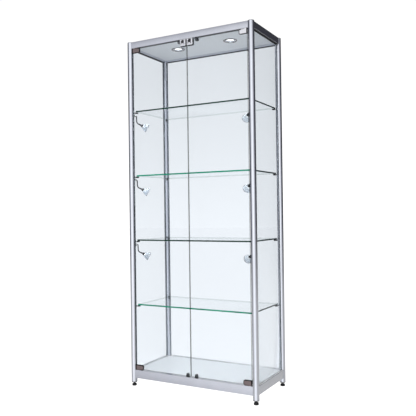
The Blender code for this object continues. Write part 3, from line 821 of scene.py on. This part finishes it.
class CABINET_OT_gaskets(Step, bpy.types.Operator):
    """Glazing strips: grey in the posts, black in the top rails and pale in the bottom rails. Fillers
    close the empty slots beside the doors, and thin dust strips lie under the front top rail."""

    bl_idname = "cabinet.gaskets"
    bl_label = "Gaskets"

    def make(self):
        deep = sizes().gasket_depth
        x_post, y_post = abs(POST["front_left"][0]), abs(POST["front_left"][1])
        proud, past_rail, lip_height = 0.0004, 0.008, 0.0011
        upright = []
        mouth = sqrt(POST_RADIUS ** 2 - SLOT_HALF ** 2) + proud
        low_z, high_z = BOTTOM_RAIL[1] - past_rail, TOP_RAIL[0] + past_rail
        for sign in (-1, 1):
            near, far = sorted((sign * (x_post - mouth), sign * (x_post - mouth + deep)))
            upright += strip_pair((near, 0, low_z), (far, 0, high_z), 1, y_post)
            for end in (-1, 1):
                near, far = sorted((end * (y_post - mouth), end * (y_post - mouth + deep)))
                upright += strip_pair((0, near, low_z), (0, far, high_z), 0, sign * x_post)
            filler = sorted((sign * (x_post - mouth + 0.0012), sign * (x_post - mouth + deep)))
            upright.append(bar(
                (filler[0], -y_post - SLOT_HALF + 0.0001, BOTTOM_RAIL[1] + FIT),
                (filler[1], -y_post + SLOT_HALF - 0.0001, TOP_RAIL[0] - FIT),
            ))
        piece("post_gaskets", upright, "frame", finish("gasket_rubber"))
        clear = POST_RADIUS + 0.0025
        reach_x, reach_y = x_post - clear, y_post - clear
        for name, face, sign, rubber in (
            ("bottom", BOTTOM_RAIL[1], 1, "seal_white"), ("top", TOP_RAIL[0], -1, "black_rubber"),
        ):
            low, high = sorted((face - sign * deep, face))
            lip_low, lip_high = sorted((face + sign * 0.00005, face + sign * lip_height))
            lip = (RAIL_HALF - 0.0012, 0.0003)
            strips = strip_pair((-reach_x, 0, low), (reach_x, 0, high), 1, y_post)
            strips += strip_pair((-reach_x, 0, lip_low), (reach_x, 0, lip_high), 1, y_post, *lip)
            for end in (-1, 1):
                strips += strip_pair((0, -reach_y, low), (0, reach_y, high), 0, end * x_post)
                strips += strip_pair((0, -reach_y, lip_low), (0, reach_y, lip_high), 0, end * x_post, *lip)
            piece(f"{name}_rail_strips", strips, "frame", finish(rubber))
        self.dust_strips()

    def dust_strips(self):
        """Thin strips under the front top rail that leave the catch bar and the pivots free."""
        under, near = TOP_RAIL[0] - 0.00075, RAIL_HALF - 0.0008
        y = POST["front_left"][1]
        pivot = abs(joint("door_right_hinge")["pos_m"][0])
        reaches = ((box("door_catch")[1][0] + 0.001, pivot - 0.007), (pivot + 0.007, pivot + 0.0125))
        strips = []
        for start, end in reaches:
            for sign in (-1, 1):
                left, right = sorted((sign * start, sign * end))
                strips.append(bar((left, y - near, under), (right, y + near, TOP_RAIL[0] - 0.00005), 0.0002))
        piece("dust_strips", strips, "frame", finish("strip_grey"))


class CABINET_OT_pegs(Step, bpy.types.Operator):
    """Sixteen shelf pegs, one at each post under each shelf"""

    bl_idname = "cabinet.pegs"
    bl_label = "Shelf pegs"

    def make(self):
        radius, reach = sizes().peg_radius, sizes().peg_reach
        sleeves, pins = [], []
        for number in (1, 2, 3, 4):
            height = float(box(f"shelf_{number}")[0][2]) - radius - 0.0001
            for corner in CORNERS:
                x, y, _ = POST[corner]
                inward = Vector((-x, 0, 0)).normalized() + Vector((0, -y, 0)).normalized()
                inward.normalize()
                start = Vector((x, y, height)) + inward * POST_RADIUS
                pins.append(turned(
                    [(0.0018, -0.001), (0.0018, 0.004), (0.0050, 0.0002), (0.0056, 0.0006), (0.0052, 0.0014),
                     (0.0020, 0.0016), (0.0020, reach - 0.001)], 24, start, inward,
                ))
                a = np.linspace(0, pi / 2 * 0.9, 5)
                nose = np.column_stack([radius * np.cos(a), reach - 0.001 + 0.002 * np.sin(a)])
                body = np.array([(radius * 0.7, 0.006), (radius * 0.95, 0.0064), (radius, 0.007)])
                sleeves.append(turned(np.concatenate([body, nose]), 24, start, inward))
        piece("peg_pins", pins, "frame", finish("zinc_steel"))
        piece("peg_sleeves", sleeves, "frame", finish("black_rubber"))


# Doors.

def clamp_outline(low, high, round_side):
    """A rectangle in X and Z with two large round corners at one end, on the side round_side."""
    radius = 0.0085
    corner = 0.0012
    near = low[0] if round_side > 0 else high[0]
    far = high[0] - radius if round_side > 0 else low[0] + radius
    end = np.concatenate([
        arc(radius, -pi / 2, 0.0, 9) * (round_side, 1.0) + (far, low[1] + radius),
        arc(radius, 0.0, pi / 2, 9) * (round_side, 1.0) + (far, high[1] - radius),
    ])
    quarter = arc(corner, pi / 2, pi, 3) * (round_side, 1.0)
    top = quarter + (near + round_side * corner, high[1] - corner)
    under = (quarter * (1.0, -1.0))[::-1] + (near + round_side * corner, low[1] + corner)
    outline = np.concatenate([end, top, under])
    return outline if round_side > 0 else outline[::-1]


def upright_slab(outline, front, back, edge, steps=2):
    """An outline in X and Z pulled along Y."""
    return slab(outline, -back, -front, edge, (1, 0, 0), (0, 0, 1), (0, -1, 0), steps=steps)


def pillow(outline, front, back, rim, deep):
    """The outline pulled forwards from back to front. Its front rim follows a quarter ellipse: set in by
    rim (1 - cos a) at a depth of deep (1 - sin a) as a goes from 0 to a quarter turn."""
    turns = np.linspace(0.0, pi / 2, 9)
    rows = [(0.0003, back), (0.0, back - 0.0003)]
    rows += [(rim * (1 - cos(a)), front + deep * (1 - sin(a))) for a in turns]
    axes = np.array([(1, 0, 0), (0, 0, 1), (0, -1, 0)], float)
    grid = np.stack([
        np.column_stack([offset(outline, inset), np.full(len(outline), -depth)]) @ axes
        for inset, depth in rows
    ])
    return skin(grid)


def socket_screw(centre, axis, radius=0.0022):
    """A grub screw: a short barrel with a socket sunk in its end."""
    return turned([
        (radius, -0.002), (radius, 0.0002), (radius * 0.88, 0.0005), (radius * 0.55, 0.0005),
        (radius * 0.5, -0.0008),
    ], 24, centre, axis)


class CABINET_OT_clamps(Step, bpy.types.Operator):
    """Four pivot clamps on dark bases, with pins, grub screws, and the bushes they turn in"""

    bl_idname = "cabinet.clamps"
    bl_label = "Pivot clamps"

    def make(self):
        bushes = []
        for side, sign in SIDES:
            hinge = joint(f"door_{side}_hinge")["pos_m"]
            for level, up in (("top", 1), ("bottom", -1)):
                node = f"pivot_clamp_{level}_{side}"
                low, high = box(node)
                rail_gap, tall = 0.001, 0.028
                web = TOP_RAIL[0] - rail_gap if up > 0 else BOTTOM_RAIL[1] + rail_gap
                z_low, z_high = sorted((web, web - up * tall))
                self.clamp(node, side, sign, up, (low[0], z_low), (high[0], z_high), low[1], high[1], hinge)
                seat = TOP_RAIL[0] if up > 0 else BOTTOM_RAIL[1]
                bushes.append(turned(
                    [(0.0031, 0.0), (0.0052, 0.0), (0.0056, 0.0002), (0.0056, 0.0006), (0.0031, 0.0006)], 32,
                    (hinge[0], hinge[1], seat - (0.0007 if up > 0 else -0.0001)), ends="ring",
                ))
        piece("pivot_bushes", bushes, "frame", finish("white_plastic"))

    def clamp(self, node, side, sign, up, low, high, front, back, hinge):
        edge = 0.0006
        glass_half = GLASS / 2
        outline = clamp_outline(low, high, -sign)
        base = front + 0.0022
        shapes = [
            pillow(offset(outline, sizes().liner), front, base - 0.0001, 0.0030, 0.0016),
            marked(upright_slab(outline, base, hinge[1] - glass_half - 0.0002, edge), 2),
            upright_slab(outline, hinge[1] + glass_half + 0.0002, back, edge),
        ]
        web = high[1] if up > 0 else low[1]
        web_low, web_high = sorted((web, web - up * 0.003))
        near_post, near_end = 0.001, 0.014
        margins = (near_post, near_end) if sign < 0 else (near_end, near_post)
        corner = (low[0] + margins[0], front + 0.001, web_low)
        shapes.append(bar(corner, (high[0] - margins[1], back - 0.001, web_high), 0.0003))
        start = web_high if up > 0 else web_low
        shapes.append(turned(
            [(0.003, -0.001), (0.003, 0.0082), (0.0025, 0.0088)], 32, (hinge[0], hinge[1], start), (0, 0, up),
        ))
        for step in (0.012, 0.030):
            x = (low[0] + step) if sign < 0 else (high[0] - step)
            z = (low[1] + high[1]) / 2
            shapes.append(marked(socket_screw((x, back, z), (0, 1, 0)), 1))
        # Painted light: the top right clamp gets the painted-highlight copy of the plating, the other three
        # the painted-shade copy.
        plating = "clamp_painted_highlight" if up > 0 and sign > 0 else "clamp_painted_shade"
        piece(
            f"{node}_plates", shapes, f"door_{side}",
            [finish(plating), finish("zinc_steel"), finish("black_rubber")], [node],
        )


class CABINET_OT_lock(Step, bpy.types.Operator):
    """Lock on the right door, strike on the left, and their dark liners"""

    bl_idname = "cabinet.lock"
    bl_label = "Lock and strike"

    def make(self):
        for node in ("lock_body", "strike_clip"):
            soften(node, 0.0009)
        for node in ("lock_body", "lock_bolt", "strike_clip"):
            dress(node, finish("chrome"))
        dress("lock_barrel", finish("black_nickel"))
        self.liner("lock_body", "door_right")
        self.liner("strike_clip", "door_left")
        low, high = box("lock_barrel")
        x, z = (low[0] + high[0]) / 2, (low[2] + high[2]) / 2
        front = float(box("lock_body")[0][1])
        barrel_hole, cap_hole, cap_radius = 0.0102, 0.0092, 0.0088
        self.face("lock_body", "door_right", (x, z), front, barrel_hole)
        self.face("strike_clip", "door_left", (-x, z), front, cap_hole)
        a = np.linspace(0, pi / 2 * 0.95, 8)
        cap = np.column_stack([cap_radius * np.cos(a), 0.0004 + 0.0010 * np.sin(a)])
        button = turned(np.concatenate([[(cap_radius, -0.0002)], cap]), 40, (-x, front, z), (0, -1, 0))
        piece("strike_cap", [button], "door_left", finish("black_plastic"), sharp=40)
        ring = [(0.0068, -0.0002), (0.0100, -0.0002), (0.0100, 0.0002), (0.0095, 0.0006), (0.0068, 0.0006)]
        piece(
            "barrel_escutcheon", [turned(ring, 48, (x, front, z), (0, -1, 0), "ring")], "door_right",
            finish("black_plastic"),
        )

    def face(self, node, body, centre, front, hole):
        """A thin pillowed cover with a round hole. Rows run from the outer rim over the pillow to the hole,
        where each point lies on the line from the hole's middle to its point on the outline."""
        low, high = box(node)
        outline = rectangle((low[0], low[2]), (high[0], high[2] - 0.0005), 0.005, 6)
        sides = [outline + (np.roll(outline, -1, 0) - outline) * share for share in (0, 0.25, 0.5, 0.75)]
        outline = np.stack(sides, 1).reshape(-1, 2)
        spokes = outline - centre
        spokes = spokes / np.linalg.norm(spokes, axis=1, keepdims=True)
        reach = np.linalg.norm(outline - centre, axis=1, keepdims=True)
        thick = 0.0014
        rows = []
        for angle in np.linspace(0.0, pi / 2, 8):
            inset = 0.0035 * (1 - cos(angle))
            rows.append((reach - inset, front - thick * sin(angle)))
        rows += [(hole + 0.0004 + 0 * reach, front - thick), (hole + 0 * reach, front - thick + 0.0004)]
        rows += [(hole + 0 * reach, front - 0.00005), (reach, front - 0.00005)]
        grid = np.stack([
            np.insert(centre + spokes * reach_here, 1, depth, axis=1) for reach_here, depth in rows
        ])
        piece(f"{node}_face", [ring_of(grid)], body, finish("chrome"), sharp=45)

    def liner(self, node, body):
        """Dark pads between a clip's plates and the door's glass, a little larger than the clip."""
        low, high = box(node)
        proud, proud_meeting, below_top = 0.0022, 0.0009, 0.0036
        hinge_y = joint("door_left_hinge")["pos_m"][1]
        outline = rectangle(
            (low[0] - proud_meeting, low[2] - proud), (high[0] + proud, high[2] - below_top), 0.0055, 6,
        )
        pads = []
        for sign in (-1, 1):
            a, b = sorted((hinge_y + sign * (GLASS / 2 + 0.00003), hinge_y + sign * (GLASS / 2 + 0.00027)))
            pads.append(upright_slab(outline, a, b, 0.00005, 1))
        piece(f"{node}_liner", pads, body, finish("black_rubber"))


class CABINET_OT_catch(Step, bpy.types.Operator):
    """Catch bar with its black ends and magnet plates, and the tapered door stops"""

    bl_idname = "cabinet.catch"
    bl_label = "Catch and stops"

    def make(self):
        for node in ("door_catch", "door_stop_left", "door_stop_right"):
            soften(node, 0.0006)
            dress(node, finish("black_plastic" if node != "door_catch" else "catch_grey"))
        low, high = box("door_catch")
        ends = []
        for sign in (-1, 1):
            near, far = sorted((sign * (high[0] - 0.0135), sign * (high[0] + 0.0004)))
            corner = (near, low[1] - 0.0002, low[2] - 0.0004)
            ends.append(bar(corner, (far, high[1] + 0.0004, high[2] - 0.0002), 0.0005, 2))
        piece("catch_ends", ends, "frame", finish("black_plastic"))
        plates = []
        for sign in (-1, 1):
            x = sign * (high[0] - 0.0075)
            outline = rectangle((x - 0.004, low[2] + 0.003), (x + 0.004, high[2] - 0.0035), 0.001, 3)
            plates.append(upright_slab(outline, low[1] - 0.00025, low[1] + 0.001, 0.0001, 1))
        piece("catch_magnets", plates, "frame", finish("magnet_steel"))


# Lamps.

class CABINET_OT_side_lamps(Step, bpy.types.Operator):
    """Six side lamps: white rosette, bent stem, knuckle and a tilting reflector lamp"""

    bl_idname = "cabinet.side_lamps"
    bl_label = "Side lamps"
    flare = 0.62
    rim_deep = 0.0016

    def make(self):
        for number in LAMP_SHELVES:
            for side, _ in SIDES:
                hinge = joint(f"lamp_{number}_{side}_tilt")
                pivot = Vector(hinge["pos_m"])
                post = Vector((*POST[f"front_{side}"][:2], pivot.z))
                out = (pivot - post).normalized()
                self.arm(number, side, post, pivot, out)
                self.head(number, side, pivot, out)

    def arm(self, number, side, post, pivot, out):
        node = f"lamp_arm_{number}_{side}"
        high = float(box(node)[1][2])
        rosette_z = high - 0.0070
        reach = (pivot - post).length
        base = Vector((post.x, post.y, rosette_z)) + out * POST_RADIUS
        radius = sizes().rosette_radius
        rosette = turned([
            (radius * 0.85, -0.0006), (radius, 0.0006), (radius, 0.0034), (radius * 0.94, 0.0048),
            (radius * 0.7, 0.0060), (0.0044, 0.0066), (0.0040, 0.0090), (0.0030, 0.0096),
        ], 40, base, out)
        drop = rosette_z - pivot.z
        route = [
            (POST_RADIUS + 0.0075, 0.0), (0.0275, 0.0012), (0.0294, 0.0052), (0.0300, 0.0190),
            (0.0305, 0.0315), (0.0330, 0.0390), (0.0400, 0.0455), (0.0470, 0.0490),
            (reach - 0.003, drop - 0.001),
        ]
        points = [Vector((post.x, post.y, rosette_z)) + out * r - Vector((0, 0, d)) for r, d in route]
        stem = tube(curve_through(points, 8), sizes().stem_radius, 20)
        angle = np.linspace(-pi / 2 * 0.94, pi / 2 * 0.94, 14)
        ball = np.column_stack([0.0045 * np.cos(angle), 0.0045 * np.sin(angle)])
        knuckle = turned(ball, 32, pivot, (0, 0, 1))
        along = (points[-1] - points[-3]).normalized()
        collar = turned([
            (0.0027, 0.0), (0.0036, 0.0004), (0.0038, 0.0012), (0.0038, 0.0060), (0.0034, 0.0068),
            (0.0027, 0.0072),
        ], 28, pivot - along * 0.0105, along)
        side_axis = out.cross(Vector((0, 0, 1)))
        screw = turned([
            (0.0012, -0.0078), (0.0030, -0.0076), (0.0032, -0.0070), (0.0032, -0.0052), (0.0028, -0.0048),
            (0.0014, -0.0046), (0.0014, 0.0044), (0.0024, 0.0048), (0.0024, 0.0060), (0.0018, 0.0064),
        ], 24, pivot, side_axis)
        piece(
            f"{node}_stem", [marked(rosette, 1), stem, knuckle, collar, screw], "frame",
            [finish("black_nickel"), finish("white_plastic")], [node], sharp=40,
        )

    def head(self, number, side, pivot, out):
        """A reflector lamp: the bowl's radius grows from neck to rim as the distance to the power flare."""
        node = f"lamp_head_{number}_{side}"
        rim_away = 0.0446
        aim = self.aim(node, pivot, out)
        share = np.linspace(0.0, 1.0, 22)
        neck, rim, start = 0.0086, 0.0240, 0.0125
        away = start + (rim_away - self.rim_deep - start) * share
        outer = neck + (rim - neck) * share ** self.flare
        wall = 0.0011
        inner_away = start + 0.0018 + (rim_away - 0.0030 - start - 0.0018) * share[::-1]
        inner = (neck + (rim - neck) * np.interp(inner_away, away, share) ** self.flare) - wall
        bowl_profile = np.column_stack([np.concatenate([outer, inner]), np.concatenate([away, inner_away])])
        bowl = marked(turned(bowl_profile, 64, pivot, aim, "ring"), 0)
        holder = marked(turned([
            (0.0040, 0.0050), (0.0070, 0.0052), (0.0078, 0.0060), (0.0078, 0.0084), (0.0070, 0.0088),
            (0.0070, 0.0096), (0.0080, 0.0100), (0.0084, 0.0108), (0.0084, 0.0134), (0.0076, 0.0140),
        ], 40, pivot, aim), 1)
        facets = self.reflector(pivot, aim, start, rim_away, neck, rim, wall)
        rim_ring = marked(turned([
            (rim - 0.0016, rim_away - 0.0026), (rim + 0.0002, rim_away - 0.0026),
            (rim + 0.0006, rim_away - 0.0018), (rim + 0.0004, rim_away - 0.0004), (rim - 0.0002, rim_away),
            (rim - 0.0016, rim_away - 0.0002),
        ], 64, pivot, aim, "ring"), 2)
        cover = marked(turned([
            (rim - 0.0014, rim_away - 0.0024), (rim - 0.0014, rim_away - 0.0012),
        ], 64, pivot, aim), 3)
        capsule = marked(turned([
            (0.0012, 0.0150), (0.0036, 0.0154), (0.0044, 0.0166), (0.0044, 0.0250), (0.0034, 0.0276),
            (0.0014, 0.0288),
        ], 24, pivot, aim), 4)
        piece(
            f"{node}_lamp", [bowl, holder, facets, rim_ring, cover, capsule], f"lamp_head_{number}_{side}",
            [finish("lamp_bowl"), finish("black_nickel"), finish("chrome"), finish("pane_glass"),
             finish("capsule_glow"), finish("dichroic")],
            [node], sharp=35,
        )

    def aim(self, node, pivot, out):
        """The head's axis: from the pivot through the middle of the head's own box, kept in the upright
        plane of its arm."""
        centre = Vector(middle(node)) - pivot
        level = centre.dot(out)
        return (out * level + Vector((0, 0, centre.z))).normalized()

    def reflector(self, pivot, aim, start, rim_away, neck, rim, wall):
        """Faceted silver bowl inside the glass: each ring has a flat for every two steps round."""
        count, rows = 24, 7
        share = np.linspace(0.12, 0.94, rows)
        away = start + (rim_away - self.rim_deep - start) * share
        radius = neck + (rim - neck) * share ** self.flare - wall - 0.0006
        skin_out = np.column_stack([radius, away])
        skin_in = np.column_stack([radius - 0.0007, away + 0.0002])[::-1]
        return marked(turned(np.concatenate([skin_out, skin_in]), count, pivot, aim, "ring"), 5)


class CABINET_OT_downlights(Step, bpy.types.Operator):
    """Two ceiling lamps with a dark ring, a reflector cone and a lit lens"""

    bl_idname = "cabinet.downlights"
    bl_label = "Downlights"

    def make(self):
        for side, _ in SIDES:
            node = f"downlight_{side}"
            low, high = box(node)
            x, y, _ = middle(node)
            ceiling = float(box("ceiling")[0][2])
            flange = (high[0] - low[0]) / 2
            ring = marked(turned([
                (0.0295, 0.0012), (flange - 0.001, 0.0), (flange, -0.0004), (flange, -0.0012),
                (flange - 0.0012, -0.0024), (flange - 0.0036, -0.0030), (0.0315, -0.0030), (0.0295, -0.0022),
            ], 96, (x, y, ceiling - FIT), (0, 0, 1), "ring"), 0)
            cone = marked(turned([
                (0.0292, -0.0020), (0.0272, -0.0006), (0.0240, 0.0012), (0.0208, 0.0040), (0.0208, 0.0060),
                (0.0285, 0.0060), (0.0292, 0.0010),
            ], 96, (x, y, ceiling - FIT), (0, 0, 1), "ring"), 1)
            a = np.linspace(0, pi / 2 * 0.96, 10)
            dome = np.column_stack([0.0206 * np.cos(a), 0.0040 - 0.0024 * np.sin(a)])
            lens = marked(turned(np.concatenate([[(0.0206, 0.0056)], dome]), 72, (x, y, ceiling - FIT)), 2)
            housing = marked(turned([
                (0.0240, 0.0062), (0.0268, 0.0062), (0.0268, 0.0170), (0.0240, 0.0178),
            ], 48, (x, y, ceiling - FIT)), 3)
            piece(
                f"{node}_lamp", [ring, cone, lens, housing], "frame",
                [finish(key) for key in ("dark_nickel", "reflector", "downlight_lens", "black_plastic")],
                [node], sharp=35,
            )


# Feet and power parts.

class CABINET_OT_feet(Step, bpy.types.Operator):
    """Levelling feet with threaded studs, and the inserts in the post ends"""

    bl_idname = "cabinet.feet"
    bl_label = "Feet"

    def make(self):
        inserts = []
        tall = sizes().insert_height
        for corner in CORNERS:
            x, y, _ = POST[corner]
            node = f"levelling_foot_{corner}"
            high = box(node)[1]
            pad = marked(turned([
                (0.0122, 0.0000), (0.0131, 0.0006), (0.0132, 0.0020), (0.0126, 0.0024), (0.0126, 0.0030),
                (0.0130, 0.0034), (0.0130, 0.0078), (0.0122, 0.0104), (0.0106, 0.0118), (0.0068, 0.0124),
                (0.0064, 0.0136), (0.0044, 0.0140),
            ], 64, (x, y, 0)), 0)
            stud = marked(self.stud((x, y), 0.013, float(high[2])), 1)
            piece(
                f"{node}_pad", [pad, stud], f"foot_{corner}", [finish("black_rubber"), finish("zinc_steel")],
                [node], sharp=40,
            )
            inserts.append(turned([
                (0.0048, 0.0), (0.0140, 0.0), (0.0158, 0.0006), (0.0166, 0.0016), (0.0166, tall - FIT),
                (0.0048, tall - FIT),
            ], 64, (x, y, POST_LOW - tall), (0, 0, 1), "ring"))
        piece("post_inserts", inserts, "frame", finish("black_plastic"), sharp=40)

    def stud(self, centre, low, high):
        """A threaded stud: at height z and angle a its radius is that of a ridge whose crest runs round once
        for each pitch, as a triangle wave of z over the pitch less a over a full turn."""
        pitch = sizes().thread_pitch
        rows, columns = int((high - low) / pitch * 6), 24
        z = np.linspace(low, high, rows)[:, None]
        a = np.linspace(0.0, 2 * pi, columns, endpoint=False)[None]
        wave = np.abs(((z / pitch - a / (2 * pi)) % 1.0) - 0.5) * 2
        radius = 0.0036 + 0.0005 * wave
        grid = np.stack([centre[0] + radius * np.cos(a), centre[1] + radius * np.sin(a), z + 0 * a], -1)
        return skin(grid, "fan")


class CABINET_OT_power(Step, bpy.types.Operator):
    """Lamp driver and mains inlet with its pins"""

    bl_idname = "cabinet.power"
    bl_label = "Power parts"

    def make(self):
        for node in ("lamp_driver", "mains_inlet"):
            dress(node, finish("black_plastic"))
        soften("mains_inlet", 0.0005)
        low, high = box("mains_inlet")
        x, _, z = middle("mains_inlet")
        pins = []
        for across, up in ((-0.006, -0.0015), (0.0, 0.0022), (0.006, -0.0015)):
            start = (x + across - 0.001, low[1] + 0.002, z + up - 0.002)
            pins.append(bar(start, (x + across + 0.001, high[1] - 0.003, z + up + 0.002), 0.0003))
        piece("inlet_pins", pins, "frame", finish("zinc_steel"))


# Stage.

class CABINET_OT_stage(Step, bpy.types.Operator):
    """Pale floor, soft lights, surround and camera"""

    bl_idname = "cabinet.stage"
    bl_label = "Stage"

    def make(self):
        self.floor()
        self.surround()
        self.lights()
        self.camera()
        scene = bpy.context.scene
        scene.view_settings.view_transform = "Standard"
        scene.view_settings.look = "None"
        scene.cycles.transparent_max_bounces = 64
        scene.cycles.max_bounces = 16

    def floor(self):
        """Pale floor, as bright to the camera as the white behind the object. Metal doesn't mirror it."""
        mesh = bpy.data.meshes.new("studio_floor")
        reach, drop = 30.0, 0.0004
        corners = [(-reach, -reach), (reach, -reach), (reach, reach), (-reach, reach)]
        mesh.from_pydata([(x, y, -drop) for x, y in corners], [], [(0, 1, 2, 3)])
        made = Finish("studio_white", (0.52, 0.52, 0.53), 0.9)
        made.vary("Base Color", made.noise(2.0), (0.51, 0.51, 0.52), (0.53, 0.53, 0.54))
        path = made.node("ShaderNodeLightPath")
        white = made.node("ShaderNodeEmission")
        white.inputs["Strength"].default_value = FLOOR_WHITE
        share = made.math("MULTIPLY", path.outputs["Is Camera Ray"], FLOOR_SHARE)
        made.mixed(share, made.shader.outputs["BSDF"], white.outputs["Emission"], made.surface)
        mesh.materials.append(made.material)
        floor = bpy.data.objects.new("studio_floor", mesh)
        floor.visible_glossy = False
        bpy.context.scene.collection.objects.link(floor)

    def surround(self):
        """The room that metal and glass mirror is bright round the camera and darker to the sides and
        behind. Straight behind the object it is white, a little stronger lower down."""
        world = bpy.data.worlds.new("studio_room")
        bpy.context.scene.world = world
        world.use_nodes = True
        world.node_tree.nodes.clear()
        room = Graph(world.node_tree)
        where = room.node("ShaderNodeTexCoord").outputs["Generated"]
        apart = room.node("ShaderNodeSeparateXYZ")
        room.link(where, apart.inputs["Vector"])
        height = apart.outputs["Z"]
        side = studio().bright_side
        facing = room.vector("DOT_PRODUCT", where, (sin(side), -cos(side), 0.0), result="Value")
        level = room.node("ShaderNodeVectorMath", operation="SCALE")
        room.link(self.tones(room, room.span(facing, -1.0, 1.0, 0.0, 1.0)), level.inputs[0])
        room.link(room.span(height, *ROOM_FALL), level.inputs["Scale"])
        lower = room.vector("MAXIMUM", level.outputs["Vector"], room.span(height, *ROOM_GROUND))
        towards = room.vector("DOT_PRODUCT", where, PANEL_TOWARDS, result="Value")
        extra = room.math("ADD", room.span(height, *ROOM_OVERHEAD), room.span(towards, *PANEL_EDGE))
        light = room.node("ShaderNodeBackground")
        light.inputs["Strength"].default_value = studio().surround
        room.link(room.vector("ADD", lower, extra), light.inputs["Color"])
        white = room.node("ShaderNodeBackground")
        white.inputs["Color"].default_value = (1.0, 1.0, 1.0, 1.0)
        room.link(room.span(height, *ROOM_WHITE), white.inputs["Strength"])
        camera = room.node("ShaderNodeLightPath").outputs["Is Camera Ray"]
        surface = room.node("ShaderNodeOutputWorld").inputs["Surface"]
        room.mixed(camera, light.outputs["Background"], white.outputs["Background"], surface)

    def tones(self, room, share):
        ramp = room.node("ShaderNodeValToRGB")
        stops = ramp.color_ramp.elements
        for number, (place, tone) in enumerate(ROOM_TONES):
            stop = stops[number] if number < 2 else stops.new(place)
            stop.position = place
            stop.color = (*tone, 1.0)
        room.link(share, ramp.inputs["Fac"])
        return ramp.outputs["Color"]

    def lamp(self, name, place, target, size, power, spread=pi):
        data = bpy.data.lights.new(name, "AREA")
        data.shape = "RECTANGLE"
        data.size, data.size_y = size
        data.energy = power
        data.spread = spread
        lamp = bpy.data.objects.new(name, data)
        lamp.visible_glossy = False
        direction = Vector(target) - Vector(place)
        turn = direction.to_track_quat("-Z", "Y").to_matrix().to_4x4()
        lamp.matrix_world = Matrix.Translation(place) @ turn
        bpy.context.scene.collection.objects.link(lamp)
        return lamp

    def lights(self):
        """Soft lights in front and above, and the light that each downlight sheds."""
        self.lamp("key_light", (0.4, -4.2, 1.9), (0, 0, 1.0), (2.4, 3.0), studio().key)
        self.lamp("top_light", (0.0, -0.6, 4.2), (0, 0, 0), (4.0, 4.0), studio().fill)
        wash = self.lamp("ceiling_wash", (0, 0, 1.0), (0, 0, 1.9), (0.6, 0.25), studio().wash)
        wash.visible_camera = False
        for side, _ in SIDES:
            x, y, _ = middle(f"downlight_{side}")
            under = float(box(f"downlight_{side}")[0][2]) - 0.001
            self.lamp(
                f"downlight_glow_{side}", (x, y, under), (x, y, 0), (0.04, 0.04), studio().spots, radians(95),
            )

    def camera(self):
        settings = studio()
        yaw, pitch, roll = settings.yaw, settings.pitch, settings.roll
        ahead = Vector((-sin(yaw) * cos(pitch), cos(yaw) * cos(pitch), sin(pitch)))
        level = Vector((cos(yaw), sin(yaw), 0.0))
        up = level.cross(ahead)
        right = level * cos(roll) + up * sin(roll)
        top = up * cos(roll) - level * sin(roll)
        data = bpy.data.cameras.new("studio_camera")
        data.lens = settings.lens
        data.sensor_width = 36.0
        camera = bpy.data.objects.new("studio_camera", data)
        turn = Matrix((right, top, -ahead)).transposed().to_4x4()
        camera.matrix_world = Matrix.Translation(settings.eye) @ turn
        bpy.context.scene.collection.objects.link(camera)
        bpy.context.scene.camera = camera


STEPS = (
    CABINET_OT_stage, CABINET_OT_posts, CABINET_OT_rails, CABINET_OT_boards, CABINET_OT_panes,
    CABINET_OT_shelves, CABINET_OT_gaskets, CABINET_OT_pegs, CABINET_OT_clamps, CABINET_OT_lock,
    CABINET_OT_catch, CABINET_OT_side_lamps, CABINET_OT_downlights, CABINET_OT_feet, CABINET_OT_power,
)


class CABINET_PT_panel(bpy.types.Panel):
    """Sizes, colours and the steps that make the cabinet"""

    bl_label = "Display cabinet"
    bl_idname = "CABINET_PT_panel"
    bl_space_type = "VIEW_3D"
    bl_region_type = "UI"
    bl_category = "Cabinet"

    def draw(self, context):
        for group in (sizes(), colours(), studio()):
            column = self.layout.column(align=True)
            for name in group.__annotations__:
                column.prop(group, name)
        for step in STEPS:
            self.layout.operator(step.bl_idname)


GROUPS = (
    (CabinetSizes, "cabinet_sizes"), (CabinetColours, "cabinet_colours"), (CabinetStudio, "cabinet_studio"),
)


def register():
    for group, name in GROUPS:
        bpy.utils.register_class(group)
        setattr(bpy.types.Scene, name, PointerProperty(type=group))
    for step in (*STEPS, CABINET_PT_panel):
        bpy.utils.register_class(step)


def unregister():
    for step in reversed((*STEPS, CABINET_PT_panel)):
        bpy.utils.unregister_class(step)
    for group, name in reversed(GROUPS):
        delattr(bpy.types.Scene, name)
        bpy.utils.unregister_class(group)


def main():
    register()
    for step in STEPS:
        family, name = step.bl_idname.split(".")
        getattr(getattr(bpy.ops, family), name)()


if __name__ == "__main__":
    main()
